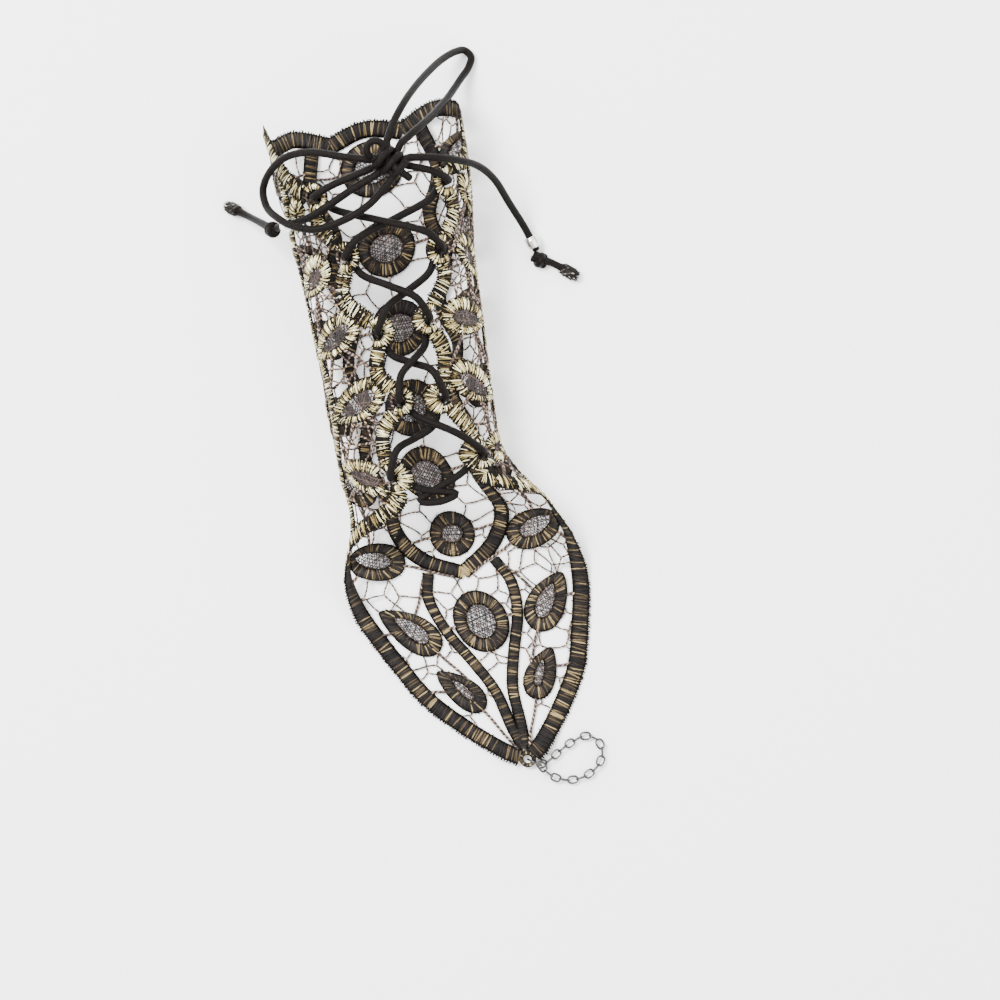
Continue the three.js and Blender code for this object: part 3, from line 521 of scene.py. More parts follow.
# lift at the crossing before the eyelet, then shares of the hook as the cord enters and leaves
lacingTurns = {
    -1: [(0, 0, 1), (1, 1, 1), (-1, 1, 1), (-1, 1, 1), (-1, 1, 0)],
    1: [(0, 0, 1), (-1, 1, 1), (1, 1, 1), (1, 1, 0.5), (1, 0.2, 0)],
}
lacingSag = [(-0.09, -0.022), (0, -0.035), (0.09, -0.022)]
bowKnotCentre = np.array([6.8, 111.2, 46.8])
cordRoutes = {
    "bow_loop_left": [
        (0.2, 113.2, 47), (-8, 116.1, 46.6), (-18.5, 120.1, 43.6), (-26.7, 120.5, 39.2),
        (-33.2, 117.2, 33.4), (-36.8, 112.1, 29), (-36.8, 106.5, 31), (-34, 101.5, 37.4),
        (-29.7, 97.4, 41.6), (-22.5, 94.3, 44.4), (-13, 94.8, 46.8), (-2.6, 98.2, 48),
        (7.6, 105.6, 48.3)],
    "bow_loop_right": [
        (7.8, 117.8, 47.2), (11.7, 124.1, 46), (15.9, 129.4, 42), (20.7, 134.6, 34),
        (26.1, 139.5, 24), (32.3, 144.1, 13), (37.6, 146.4, 5.6), (40.7, 146.4, 2.2),
        (42.3, 143.8, 1.7), (40.7, 140.5, 2.8), (37.1, 136.7, 7.2), (31.6, 130.7, 17.5),
        (25.1, 124.7, 31), (18.5, 120.1, 41), (12.2, 116.2, 45.8)],
    "tail_left": [
        (2.2, 107.6, 47.4), (-6.9, 104.5, 47.4), (-15.8, 101.1, 45.4), (-23, 98.8, 42.2),
        (-27.9, 98.3, 38.6), (-31.6, 98.3, 34.4), (-34.8, 98.6, 29)],
    "tail_right": [
        (14.3, 111, 46.6), (23, 109.2, 43.4), (31.2, 106.8, 36.2), (36.5, 104.3, 29),
        (40.7, 99.6, 21.5), (44.3, 90.7, 12), (47.4, 82.8, 5.8), (48.7, 78.5, 4.2),
        (49.9, 74.1, 3.2)],
}
endRoutes = {
    "end_knot_left": [(-36.6, 98.7, 25.7), (-40.4, 102.6, 16), (-44.9, 106.8, 7), (-48.7, 110, 2.8)],
    "end_knot_right": [(50.2, 70.4, 3), (53.4, 69, 2.6), (56.4, 66.8, 2.2), (59.1, 64.4, 2.2)],
}
beadShare = {"tail_left": 0.8, "tail_right": 0.92}


def newObject(name, vertices, faces, uv=None):
    mesh = bpy.data.meshes.new(name)
    mesh.from_pydata([tuple(v) for v in np.asarray(vertices) * mm], [], faces)
    if uv is not None:
        layer = mesh.uv_layers.new(name="threads")
        layer.data.foreach_set("uv", np.asarray(uv, dtype=np.float32).ravel())
    mesh.polygons.foreach_set("use_smooth", [True] * len(mesh.polygons))
    mesh.update()
    piece = bpy.data.objects.new(name, mesh)
    bpy.context.collection.objects.link(piece)
    return piece


def sweepFrames(path):
    way = unit(np.gradient(path, axis=0))
    side = np.zeros_like(path)
    start = np.cross(way[0], [0, 0, 1])
    if np.linalg.norm(start) < 0.1:
        start = np.cross(way[0], [1, 0, 0])
    side[0] = unit(start)
    for i in range(1, len(path)):
        v = side[i - 1] - way[i] * np.dot(side[i - 1], way[i])
        side[i] = unit(v)
    return way, side, np.cross(way, side)


# Vertices, faces and UVs of a round tube with closed, rounded ends
def tubeParts(path, radius, sides, offset=0):
    path = np.asarray(path, dtype=float)
    radius = np.broadcast_to(np.asarray(radius, dtype=float), (len(path),)).copy()
    way, side, up = sweepFrames(path)
    cap = []
    for end, sign in ((0, -1), (-1, 1)):
        cap.append((path[end] + way[end] * sign * radius[end] * 0.3, radius[end] * 0.75))
    path = np.vstack([cap[0][0], path, cap[1][0]])
    radius = np.concatenate([[cap[0][1]], radius, [cap[1][1]]])
    side = np.vstack([side[:1], side, side[-1:]])
    up = np.vstack([up[:1], up, up[-1:]])
    a = 2 * math.pi * np.arange(sides) / sides
    ring = (side[:, None] * np.cos(a)[None, :, None] + up[:, None] * np.sin(a)[None, :, None])
    points = (path[:, None] + ring * radius[:, None, None]).reshape(-1, 3)
    run = np.concatenate([[0], np.cumsum(np.linalg.norm(np.diff(path, axis=0), axis=1))])
    faces, uv = [], []
    for i in range(len(path) - 1):
        for k in range(sides):
            n = (k + 1) % sides
            base = offset + i * sides
            faces.append((base + k, base + n, base + sides + n, base + sides + k))
            uv += [(k / sides, run[i]), ((k + 1) / sides, run[i]),
                   ((k + 1) / sides, run[i + 1]), (k / sides, run[i + 1])]
    for start, flip in ((0, True), ((len(path) - 1) * sides, False)):
        ids = [offset + start + k for k in range(sides)]
        faces.append(tuple(ids[::-1] if flip else ids))
        uv += [(0.5, run[0] if flip else run[-1])] * sides
    return points, faces, uv


def makeTubes(name, routes, sides):
    points, faces, uv, count = [], [], [], 0
    for path, radius in routes:
        p, f, u = tubeParts(path, radius, sides, count)
        points.append(p)
        faces += f
        uv += u
        count += len(p)
    return newObject(name, np.vstack(points), faces, uv)


def cordPath(points, perSpan=6):
    return smoothRoute(points, perSpan, 0.5)


def pathLength(path):
    return float(np.linalg.norm(np.diff(path, axis=0), axis=1).sum())


cordRadius = cord["diameter"] / 2
made = {}
cordPaths = {}
for name, points in cordRoutes.items():
    cordPaths[name] = cordPath(points)
    made[name] = makeTubes(name + "_cord", [(cordPaths[name], cordRadius)], cord["sides"])

turnRadius = sheet["wall"] / 2 + cord["gap"] + cordRadius


def turnAt(place, side, reach, cameFrom, goesTo, enter, leave):
    ways = []
    for to, share in ((cameFrom, enter), (goesTo, -leave)):
        way = unit(to - place)
        ways.append(turned(way[None], math.radians(cord["hook"]) * share * side)[0])
    cover = reach + cord["diameter"]
    soft = turnRadius * (1 - math.sqrt(0.5))
    dips = [(0, cover, 1), (0, turnRadius, 1), (0, soft, math.sqrt(0.5)), (1, 0, 0),
            (1, soft, -math.sqrt(0.5)), (1, turnRadius, -1), (1, cover, -1)]
    return [sheetPoints(place + ways[way] * by, rise * turnRadius - sheet["wall"] / 2)
            for way, by, rise in dips]


def halfLace(firstSide):
    across = np.array([2 * halfGirth, 0])
    crossLift = cordRadius + cord["gap"]
    turns = lacingTurns[firstSide]
    stops = []
    for i in range(len(turns)):
        side = firstSide if i % 2 == 0 else -firstSide
        row = eyelets[side][i]
        stops.append((spot(row[0], row[1], side), side, row[2] * sheet["scallopWidth"]))
    points = []
    for i, (place, side, reach) in enumerate(stops):
        if i > 0:
            before = stops[i - 1][0] + across * side
        else:
            before = spot(cord["pull"][1], cord["pull"][0], 1)
            if side < 0:
                before = before - across
        if i < len(stops) - 1:
            after = stops[i + 1][0] + across * side
        else:
            after = spot(cord["hemDip"], 1, side)
        lift, enter, leave = turns[i]
        turn = turnAt(place, side, reach, before, after, enter, leave)
        if i > 0:
            middle = (points[-1] + turn[0]) / 2
            points.append(middle + np.array([0, 0, lift * crossLift]))
        points += turn
    pull = unit(points[0] - bowKnotCentre)
    start = (cord["knotLength"] + cord["knotDiameter"]) / 4 + cord["knotGap"]
    return [bowKnotCentre + pull * start] + points


down = halfLace(-1)
up = halfLace(1)[::-1]
sag = [sheetPoints(np.array([(1 + away) * halfGirth, along * sheet["cuffLength"]]),
                   -sheet["wall"] / 2 - turnRadius) for away, along in lacingSag]
lacingPath = cordPath(down + sag + up, 5)
made["lacing_cord"] = makeTubes("lacing", [(lacingPath, cordRadius)], cord["sides"])


def helixPath(centre, axis, radius, turns, pitch, phase, flatten=1.0):
    stepsPerTurn = 20
    axis = unit(np.array(axis, dtype=float))
    side = unit(np.cross(axis, [0, 0, 1]))
    up = np.cross(side, axis)
    t = np.linspace(-0.5, 0.5, int(stepsPerTurn * turns) + 1)
    angle = 2 * math.pi * turns * t + phase
    return (np.asarray(centre) + axis * (t * pitch * turns)[:, None]
            + side * (radius * np.cos(angle))[:, None]
            + up * (radius * flatten * np.sin(angle))[:, None])


# The bow's knot: wraps round the strands that run through it, a curl on top and a short stub
bowKnot = {"way": (0.72, -0.69, 0.0), "radius": 3.9, "turns": 2.6, "pitch": 3.5, "flatten": 0.86,
           "curlAt": (-3.4, 4.7, 2.2), "curlRadius": 2.9, "stubAt": (4.6, -5.7, 1.2)}


def makeBowKnot():
    axis = unit(np.array(bowKnot["way"]))
    c = bowKnotCentre
    wraps = helixPath(c + axis * 0.8, axis, bowKnot["radius"], bowKnot["turns"], bowKnot["pitch"],
                      0.4, flatten=bowKnot["flatten"])
    curl = helixPath(c + np.array(bowKnot["curlAt"]), (0.25, -0.3, 1), bowKnot["curlRadius"],
                     1.05, 1.5, 2.6)
    stub = c + np.array(bowKnot["stubAt"])
    stubPath = cordPath([c + axis * 1.5 + (0, 0, 1.6), stub + (-2.4, 2.6, 1.8), stub,
                         stub + (1.4, -1.5, -0.9)], 6)
    through = [
        [cordPaths["bow_loop_left"][0], c + (-1.6, 1.2, 0.6), c + (2.4, -0.6, 0.2),
         cordPaths["tail_right"][0]],
        [cordPaths["bow_loop_left"][-1], c + (-0.2, -2.2, 1.5), c + (0.4, 2.2, 1.6),
         cordPaths["bow_loop_right"][0]],
        [cordPaths["tail_left"][0], c + (-1.2, -1.4, -0.8), c + (2.2, 1.0, -1.4),
         cordPaths["bow_loop_right"][-1]],
        [lacingPath[0], c + (-1.8, 0, -2), c + (1.8, 0, -2), lacingPath[-1]],
    ]
    thin = cordRadius * 0.98
    routes = [(wraps, cordRadius), (curl, thin), (stubPath, thin)]
    routes += [(cordPath(line), thin) for line in through]
    return makeTubes("bowKnot", routes, cord["sides"])


made["bow_knot"] = makeBowKnot()


def makeEndKnot(name, points):
    path = cordPath(points, 8)
    axis = unit(path[1] - path[0])
    wrap = helixPath(path[0], axis, 1.5, 1.7, 1.9, 0.8)
    over = helixPath(path[0] + axis * 0.3, -axis, 1.35, 1.2, -2.2, 2.5)
    before = path[0] - axis * 2.6
    lead = np.array([before, path[0] - axis * 1.2, path[0]])
    run = np.linspace(0, 1, len(path))
    swell = cordRadius * (1 + 0.06 * np.sin(run * 9))
    tipWay = unit(path[-1] - path[-2])
    t = np.linspace(-0.5, 0.5, 12)
    bulge = path[-1] + tipWay * (t * cord["frayLength"])[:, None]
    width = cord["frayDiameter"] / 2 * np.sqrt(np.clip(1 - (2 * t) ** 2 * 0.8, 0.05, 1))
    routes = [(wrap, cordRadius), (over, cordRadius * 0.96), (cordPath(lead), cordRadius * 0.9),
              (path, swell), (bulge, width)]
    return makeTubes(name + "_tied", routes, cord["sides"]), bulge, tipWay


frayed = {}
for name, points in endRoutes.items():
    made[name], bulge, tipWay = makeEndKnot(name, points)
    frayed[name] = (bulge, tipWay)


# Quads between rings of points laid one after another, closed back to the first or left open
def gridFaces(rows, sides, closed, offset=0):
    faces = []
    for i in range(rows if closed else rows - 1):
        j = (i + 1) % rows
        for k in range(sides):
            n = (k + 1) % sides
            faces.append((offset + i * sides + k, offset + j * sides + k,
                          offset + j * sides + n, offset + i * sides + n))
    return faces


def latheParts(profile, sides, place, axis):
    axis = unit(np.asarray(axis, dtype=float))
    side = unit(np.cross(axis, [0, 0, 1]))
    up = np.cross(side, axis)
    profile = np.asarray(profile, dtype=float)
    a = 2 * math.pi * np.arange(sides) / sides
    ring = side[None] * np.cos(a)[:, None] + up[None] * np.sin(a)[:, None]
    points = (np.asarray(place) + axis * profile[:, 1][:, None, None]
              + ring[None] * profile[:, 0][:, None, None]).reshape(-1, 3)
    return points, gridFaces(len(profile), sides, True)


def makeBead(name, path, share):
    at = share * (len(path) - 1)
    i = int(at)
    place = path[i] * (1 - at + i) + path[min(i + 1, len(path) - 1)] * (at - i)
    axis = path[min(i + 2, len(path) - 1)] - path[max(i - 1, 0)]
    bore, outer, half = cordRadius + 0.05, cord["beadDiameter"] / 2, cord["beadLength"] / 2
    t = np.linspace(-1, 1, 25)
    swell = outer * (0.8 + 0.2 * np.sqrt(np.clip(1 - np.abs(t) ** 3.2, 0, 1)))
    swell -= 0.13 * np.exp(-((np.abs(t) - 0.62) / 0.07) ** 2)
    profile = [(r, half * u) for r, u in zip(swell, t)]
    profile += [(bore + 0.25, half * 0.99), (bore, half * 0.85), (bore, -half * 0.85),
                (bore + 0.25, -half * 0.99)]
    points, faces = latheParts(profile, 28, place, axis)
    return newObject(name, points, faces)


for tail, share in beadShare.items():
    made[tail.replace("tail", "tail_bead")] = makeBead(tail + "_bead", cordPaths[tail], share)
print("cords:", {name: round(pathLength(path), 1) for name, path in cordPaths.items()},
      "lacing", round(pathLength(lacingPath), 1))

# Jump ring and finger chain
chain = {"ringRadius": 2.6, "ringWire": 0.7, "linkLength": 4.1, "linkWidth": 3.1, "wire": 0.7,
         "overlap": 1.7, "ringGap": 0.3, "steps": 28, "sides": 9}
chainRoute = [(-0.42, 0.25, 0), (3.2, 1.2, -0.1), (7.8, 3.8, -0.2), (12.6, 5.8, -0.2),
              (17, 6.6, -0.2), (20.6, 4.4, -0.2), (21.4, 0, -0.2), (19, -4.2, -0.2),
              (14, -6.8, -0.2), (8.6, -7, -0.2), (4, -5.2, 0.3), (1.2, -2.4, 1.2), (0, 0, 1.5)]
tipPlace = sheetPoints(np.array([0, sheet["tipHole"] + sheet["tipStrip"] - sheet["panelLength"]]), 0)
ringWay = np.array([0.8, -0.6, 0])
ringMiddle = tipPlace + ringWay * (sheet["tipHole"] + 0.92 * sheet["tipStrip"])
ringMiddle[2] = chain["ringRadius"] + chain["ringWire"] / 2 + 0.05


# A stadium-shaped link in the XY plane
def loopParts(longHalf, wideHalf, wire, steps, sides):
    a = 2 * math.pi * np.arange(steps) / steps
    straight = longHalf - wideHalf
    centre = np.stack([wideHalf * np.cos(a) + straight * np.clip(np.cos(a) * 2.2, -1, 1),
                       wideHalf * np.sin(a), 0 * a], axis=1)
    way = unit(np.roll(centre, -1, axis=0) - np.roll(centre, 1, axis=0))
    side = np.stack([way[:, 1], -way[:, 0], 0 * a], axis=1)
    b = 2 * math.pi * np.arange(sides) / sides
    points = (centre[:, None] + side[:, None] * (wire * np.cos(b))[None, :, None]
              + np.array([0, 0, 1.0]) * (wire * np.sin(b))[None, :, None]).reshape(-1, 3)
    return points, gridFaces(steps, sides, True)


def chainPoints():
    start = ringMiddle + ringWay * chain["ringRadius"]
    start[2] = chain["linkWidth"] / 2 + 0.25
    line = smoothRoute(np.array(chainRoute) + start, 60, 0.0)
    run = np.concatenate([[0], np.cumsum(np.linalg.norm(np.diff(line, axis=0), axis=1))])
    hook = ((chain["linkLength"] - chain["wire"]) / 2
            - (chain["ringWire"] + chain["wire"]) / 2 - chain["ringGap"])
    length = run[-1] - 2 * hook
    pitch = chain["linkLength"] - chain["overlap"] * chain["wire"]
    gaps = 2 * round(length / (2 * pitch))
    want = hook + length * np.arange(gaps + 1) / gaps
    places = np.stack([np.interp(want, run, line[:, k]) for k in range(3)], axis=1)
    ahead = np.stack([np.interp(want + 0.3, run, line[:, k]) for k in range(3)], axis=1)
    behind = np.stack([np.interp(want - 0.3, run, line[:, k]) for k in range(3)], axis=1)
    way = unit(ahead - behind)
    level = unit(np.stack([-way[:, 1], way[:, 0], 0 * want], axis=1))
    upward = np.cross(way, level)
    odd = (np.arange(gaps + 1) % 2 == 1)[:, None]
    return places, way, np.where(odd, -level, upward)


# Sets or links a node's inputs by name or number
def fillInputs(tree, node, inputs):
    for name, value in inputs.items():
        if isinstance(value, bpy.types.NodeSocket):
            tree.links.new(value, node.inputs[name])
        else:
            node.inputs[name].default_value = value


def addNode(tree, kind, inputs=None, **fields):
    node = tree.nodes.new(kind)
    for name, value in fields.items():
        setattr(node, name, value)
    fillInputs(tree, node, inputs or {})
    return node


# One Geometry Nodes tree sets a small shape on each point, turned by the point's own axes
def makeScatterTree():
    tree = bpy.data.node_groups.new("threadScatter", "GeometryNodeTree")
    face = tree.interface
    face.new_socket("Geometry", in_out="INPUT", socket_type="NodeSocketGeometry")
    for name, kind, value in (
        ("Shape", "NodeSocketObject", None), ("Width", "NodeSocketFloat", 0.4),
        ("Crown", "NodeSocketFloat", 0.4), ("Length spread", "NodeSocketFloat", 0.0),
        ("Width spread", "NodeSocketFloat", 0.0), ("Sway", "NodeSocketFloat", 0.0),
        ("Tone spread", "NodeSocketFloat", 0.0), ("Seed", "NodeSocketInt", 1),
        ("Finish", "NodeSocketMaterial", None),
    ):
        made = face.new_socket(name, in_out="INPUT", socket_type=kind)
        if value is not None:
            made.default_value = value
    face.new_socket("Geometry", in_out="OUTPUT", socket_type="NodeSocketGeometry")
    source = addNode(tree, "NodeGroupInput")
    target = addNode(tree, "NodeGroupOutput")
    draws = {"length": 1, "width": 2, "crown": 3, "tone": 5, "sway": 11}

    def attribute(name, kind):
        return addNode(tree, "GeometryNodeInputNamedAttribute", {"Name": name},
                       data_type=kind).outputs["Attribute"]

    def math2(operation, a, b):
        return addNode(tree, "ShaderNodeMath", {0: a, 1: b}, operation=operation).outputs[0]

    def spread(name, draw):
        amount = source.outputs[name]
        return addNode(tree, "FunctionNodeRandomValue",
                       {2: math2("SUBTRACT", 1.0, amount), 3: math2("ADD", 1.0, amount),
                        "Seed": math2("ADD", source.outputs["Seed"], draws[draw])},
                       data_type="FLOAT").outputs[1]

    axes = addNode(tree, "FunctionNodeAxesToRotation",
                   {0: attribute("outward", "FLOAT_VECTOR"), 1: attribute("across", "FLOAT_VECTOR")},
                   primary_axis="Z", secondary_axis="X")
    sway = math2("SUBTRACT", spread("Sway", "sway"), 1.0)
    tilt = addNode(tree, "FunctionNodeAxisAngleToRotation", {"Angle": sway})
    turn = addNode(tree, "FunctionNodeRotateRotation", {0: axes.outputs[0], 1: tilt.outputs[0]},
                   rotation_space="LOCAL")
    size = addNode(tree, "ShaderNodeCombineXYZ", {
        0: math2("MULTIPLY", attribute("reach", "FLOAT"), spread("Length spread", "length")),
        1: math2("MULTIPLY", source.outputs["Width"], spread("Width spread", "width")),
        2: math2("MULTIPLY", source.outputs["Crown"], spread("Width spread", "crown"))})
    shape = addNode(tree, "GeometryNodeObjectInfo", {"Object": source.outputs["Shape"]})
    place = addNode(tree, "GeometryNodeInstanceOnPoints",
                    {"Points": source.outputs["Geometry"], "Instance": shape.outputs["Geometry"],
                     "Rotation": turn.outputs[0], "Scale": size.outputs[0]})
    shade = math2("ADD", attribute("tone", "FLOAT"),
                  math2("SUBTRACT", spread("Tone spread", "tone"), 1.0))
    tone = addNode(tree, "GeometryNodeStoreNamedAttribute",
                   {"Name": "shade", "Geometry": place.outputs[0], "Value": shade},
                   data_type="FLOAT", domain="INSTANCE")
    real = addNode(tree, "GeometryNodeRealizeInstances", {0: tone.outputs[0]})
    dress = addNode(tree, "GeometryNodeSetMaterial",
                    {"Geometry": real.outputs[0], "Material": source.outputs["Finish"]})
    tree.links.new(dress.outputs[0], target.inputs[0])
    return tree


scatterTree = makeScatterTree()


# A short thread of unit length with pointed ends; domed ones arch over the band
def makeThread(name, domed, rings, sides):
    stations = np.array(rings)
    a = 2 * math.pi * np.arange(sides) / sides + math.pi / 4
    points = []
    for x in stations:
        lift = 1 - abs(2 * x) ** 2.4 if domed else 0
        size = (1 - abs(2 * x) ** 4) ** 0.5
        for angle in a:
            points.append((x, 0.5 * size * math.cos(angle) * 1.25,
                           lift + 0.4 * size * math.sin(angle) * (1.0 if domed else 1.25)))
    first, last = len(points), len(points) + 1
    points += [(-0.5, 0, -0.05 if domed else 0), (0.5, 0, -0.05 if domed else 0)]
    faces = []
    for i in range(len(stations) - 1):
        for k in range(sides):
            n = (k + 1) % sides
            faces.append((i * sides + k, i * sides + n, (i + 1) * sides + n, (i + 1) * sides + k))
    end = (len(stations) - 1) * sides
    for k in range(sides):
        n = (k + 1) % sides
        faces.append((first, n, k))
        faces.append((last, end + k, end + n))
    return newObject(name, np.array(points) / mm, faces)


shapes = {
    "stitch": makeThread("stitchShape", True, (-0.43, -0.16, 0.16, 0.43), 4),
    "lowStitch": makeThread("lowStitchShape", True, (-0.4, 0, 0.4), 3),
    "flatStitch": makeThread("flatStitchShape", True, (-0.34, 0.34), 3),
    "grain": makeThread("grainShape", False, (-0.36, 0, 0.36), 5),
    "speck": makeThread("speckShape", False, (-0.28, 0.28), 4),
}


def scatter(name, places, across, outward, reach, tone, material, settings):
    mesh = bpy.data.meshes.new(name + "Points")
    count = len(places)
    mesh.vertices.add(count)
    mesh.vertices.foreach_set("co", (np.asarray(places) * mm).astype(np.float32).ravel())
    for label, kind, values in (
        ("across", "FLOAT_VECTOR", across), ("outward", "FLOAT_VECTOR", outward),
        ("reach", "FLOAT", np.asarray(reach) * mm), ("tone", "FLOAT", tone),
    ):
        layer = mesh.attributes.new(label, kind, "POINT")
        field = "vector" if kind == "FLOAT_VECTOR" else "value"
        layer.data.foreach_set(field, np.asarray(values, dtype=np.float32).ravel())
    points = bpy.data.objects.new(name + "Points", mesh)
    bpy.context.collection.objects.link(points)
    modifier = points.modifiers.new("scatter", "NODES")
    modifier.node_group = scatterTree
    values = {"Shape": shapes[settings["shape"]], "Finish": material,
              "Width": settings["width"] * mm, "Crown": settings["crown"] * mm,
              "Length spread": settings.get("lengthSpread", 0.0),
              "Width spread": settings.get("widthSpread", 0.0),
              "Sway": settings.get("sway", 0.0), "Tone spread": settings.get("toneSpread", 0.0),
              "Seed": settings["seed"]}
    for item in scatterTree.interface.items_tree:
        if item.in_out == "INPUT" and item.name in values:
            modifier[item.identifier] = values[item.name]
    graph = bpy.context.evaluated_depsgraph_get()
    baked = bpy.data.meshes.new_from_object(points.evaluated_get(graph), depsgraph=graph)
    piece = bpy.data.objects.new(name, baked)
    bpy.context.collection.objects.link(piece)
    bpy.data.objects.remove(points)
    return piece


# Fine twist and fuzz of a thread, shared by every finish: a value from 0 to 1 and a bump normal
def makeYarnGroup():
    group = bpy.data.node_groups.new("yarn", "ShaderNodeTree")
    for label, value in (("Scale", 2500.0), ("Strength", 0.4)):
        made = group.interface.new_socket(label, in_out="INPUT", socket_type="NodeSocketFloat")
        made.default_value = value
    for label, kind in (("Value", "NodeSocketFloat"), ("Normal", "NodeSocketVector")):
        group.interface.new_socket(label, in_out="OUTPUT", socket_type=kind)
    source = addNode(group, "NodeGroupInput")
    place = addNode(group, "ShaderNodeTexCoord")
    fine = addNode(group, "ShaderNodeTexNoise",
                   {"Vector": place.outputs["Object"], "Scale": source.outputs["Scale"],
                    "Detail": 3, "Roughness": 0.65})
    bump = addNode(group, "ShaderNodeBump",
                   {"Distance": 0.0002, "Strength": source.outputs["Strength"],
                    "Height": fine.outputs["Fac"]})
    addNode(group, "NodeGroupOutput",
            {"Value": fine.outputs["Fac"], "Normal": bump.outputs["Normal"]})
    return group


yarnGroup = makeYarnGroup()


def newMaterial(name):
    material = bpy.data.materials.new(name)
    material.use_nodes = True
    return material, material.node_tree, material.node_tree.nodes["Principled BSDF"]


def addYarn(tree, settings):
    return addNode(tree, "ShaderNodeGroup",
                   {"Scale": settings["grain"], "Strength": settings["bump"]},
                   node_tree=yarnGroup)


def addRamp(tree, value, stops):
    ramp = addNode(tree, "ShaderNodeValToRGB", {"Fac": value})
    marks = ramp.color_ramp.elements
    while len(marks) < len(stops):
        marks.new(0.5)
    for mark, (at, color) in zip(marks, stops):
        mark.position = at
        mark.color = (*color, 1)
    return ramp.outputs["Color"]


def addRough(tree, value, rough, lowest=0):
    return addNode(tree, "ShaderNodeMapRange",
                   {"Value": value, "From Min": lowest, "To Min": rough[0],
                    "To Max": rough[1]}).outputs["Result"]


def threadMaterial(name, settings):
    material, tree, shader = newMaterial(name)
    yarn = addYarn(tree, settings)
    # The stitch's tone and the yarn noise, weighted by flicker, pick the colour from the ramp; on
    # the gold thread this paints glints into the colour
    tone = addNode(tree, "ShaderNodeAttribute", attribute_name="shade")
    shift = addNode(tree, "ShaderNodeMath",
                    {0: tone.outputs["Fac"], 1: settings["flicker"] / 2}, operation="SUBTRACT")
    mix = addNode(tree, "ShaderNodeMath",
                  {0: yarn.outputs["Value"], 1: settings["flicker"], 2: shift.outputs[0]},
                  operation="MULTIPLY_ADD")
    fillInputs(tree, shader, {
        "Base Color": addRamp(tree, mix.outputs[0], settings["colors"]),
        "Normal": yarn.outputs["Normal"],
        "Roughness": addRough(tree, yarn.outputs["Value"], settings["rough"]),
        "Metallic": settings["metallic"],
        "Specular IOR Level": settings.get("specular", 0.5)})
    return material


threads = {
    # Gold: tone that varies from stitch to stitch, plus painted glints; the pale cream end of the
    # ramp and the strong yarn flicker stand for highlights on the metal thread
    "gold": {"grain": 2600, "bump": 0.5, "flicker": 0.7, "rough": (0.22, 0.5), "metallic": 0.75,
             "colors": [(0.0, (0.012, 0.008, 0.004)), (0.2, (0.09, 0.06, 0.02)),
                        (0.42, (0.42, 0.33, 0.13)), (0.66, (0.76, 0.67, 0.35)),
                        (1.0, (1.0, 0.97, 0.72))]},
    "black": {"grain": 2200, "bump": 0.4, "flicker": 0.4, "rough": (0.45, 0.7), "metallic": 0.0,
              "specular": 0.07,
              "colors": [(0.0, (0.002, 0.0016, 0.0014)), (0.7, (0.007, 0.0052, 0.0042)),
                         (1.0, (0.04, 0.03, 0.02))]},
    "wrong": {"grain": 2200, "bump": 0.4, "flicker": 0.4, "rough": (0.4, 0.65), "metallic": 0.1,
              "specular": 0.25,
              "colors": [(0.0, (0.003, 0.0025, 0.0025)), (0.62, (0.012, 0.009, 0.008)),
                         (0.85, (0.08, 0.055, 0.028)), (1.0, (0.35, 0.26, 0.12))]},
    "frayed": {"grain": 2400, "bump": 0.3, "flicker": 0.3, "rough": (0.5, 0.7), "metallic": 0.0,
               "specular": 0.15,
               "colors": [(0.0, (0.004, 0.003, 0.0025)), (0.6, (0.014, 0.011, 0.009)),
                          (0.85, (0.2, 0.185, 0.16)), (1.0, (0.5, 0.48, 0.44))]},
    "copper": {"grain": 2400, "bump": 0.35, "flicker": 0.3, "rough": (0.35, 0.6), "metallic": 0.3,
               "colors": [(0.0, (0.004, 0.003, 0.003)), (0.5, (0.018, 0.01, 0.008)),
                          (0.76, (0.12, 0.066, 0.045)), (1.0, (0.5, 0.33, 0.22))]},
    "net": {"grain": 2400, "bump": 0.35, "flicker": 0.6, "rough": (0.45, 0.65), "metallic": 0.1,
            "colors": [(0.0, (0.005, 0.0035, 0.0035)), (0.6, (0.022, 0.013, 0.012)),
                       (1.0, (0.1, 0.062, 0.05))]},
}
finishes = {name: threadMaterial(name + "Thread", values) for name, values in threads.items()}


# Black braided elastic: slanting plaits in two directions from the cord's own UV
elastic = {"around": 16, "along": 1.15, "plait": 0.55, "plaitDepth": 0.00012, "grain": 1800,
           "bump": 0.3, "rough": (0.62, 0.4), "specular": 0.06,
           "colors": [(0.2, (0.0018, 0.0013, 0.0011)), (0.55, (0.004, 0.003, 0.0026)),
                      (0.9, (0.014, 0.0105, 0.009))]}


def cordMaterial():
    material, tree, shader = newMaterial("elasticCord")
    place = addNode(tree, "ShaderNodeUVMap", uv_map="threads")
    split = addNode(tree, "ShaderNodeSeparateXYZ", {0: place.outputs["UV"]})
    waves = {}
    for index, sign in enumerate((1, -1)):
        lean = addNode(tree, "ShaderNodeMath",
                       {0: split.outputs["Y"], 1: sign * 2 * math.pi * elastic["along"]},
                       operation="MULTIPLY")
        turn = addNode(tree, "ShaderNodeMath",
                       {0: split.outputs["X"], 1: math.pi * elastic["around"],
                        2: lean.outputs[0]}, operation="MULTIPLY_ADD")
        wave = addNode(tree, "ShaderNodeMath", {0: turn.outputs[0]}, operation="SINE")
        waves[index] = wave.outputs[0]
    weave = addNode(tree, "ShaderNodeMath", waves, operation="MAXIMUM").outputs[0]
    yarn = addYarn(tree, elastic)
    bump = addNode(tree, "ShaderNodeBump",
                   {"Strength": elastic["plait"], "Distance": elastic["plaitDepth"],
                    "Height": weave, "Normal": yarn.outputs["Normal"]})
    fillInputs(tree, shader, {
        "Base Color": addRamp(tree, yarn.outputs["Value"], elastic["colors"]),
        "Normal": bump.outputs["Normal"],
        "Roughness": addRough(tree, weave, elastic["rough"], -1),
        "Specular IOR Level": elastic["specular"]})
    return material


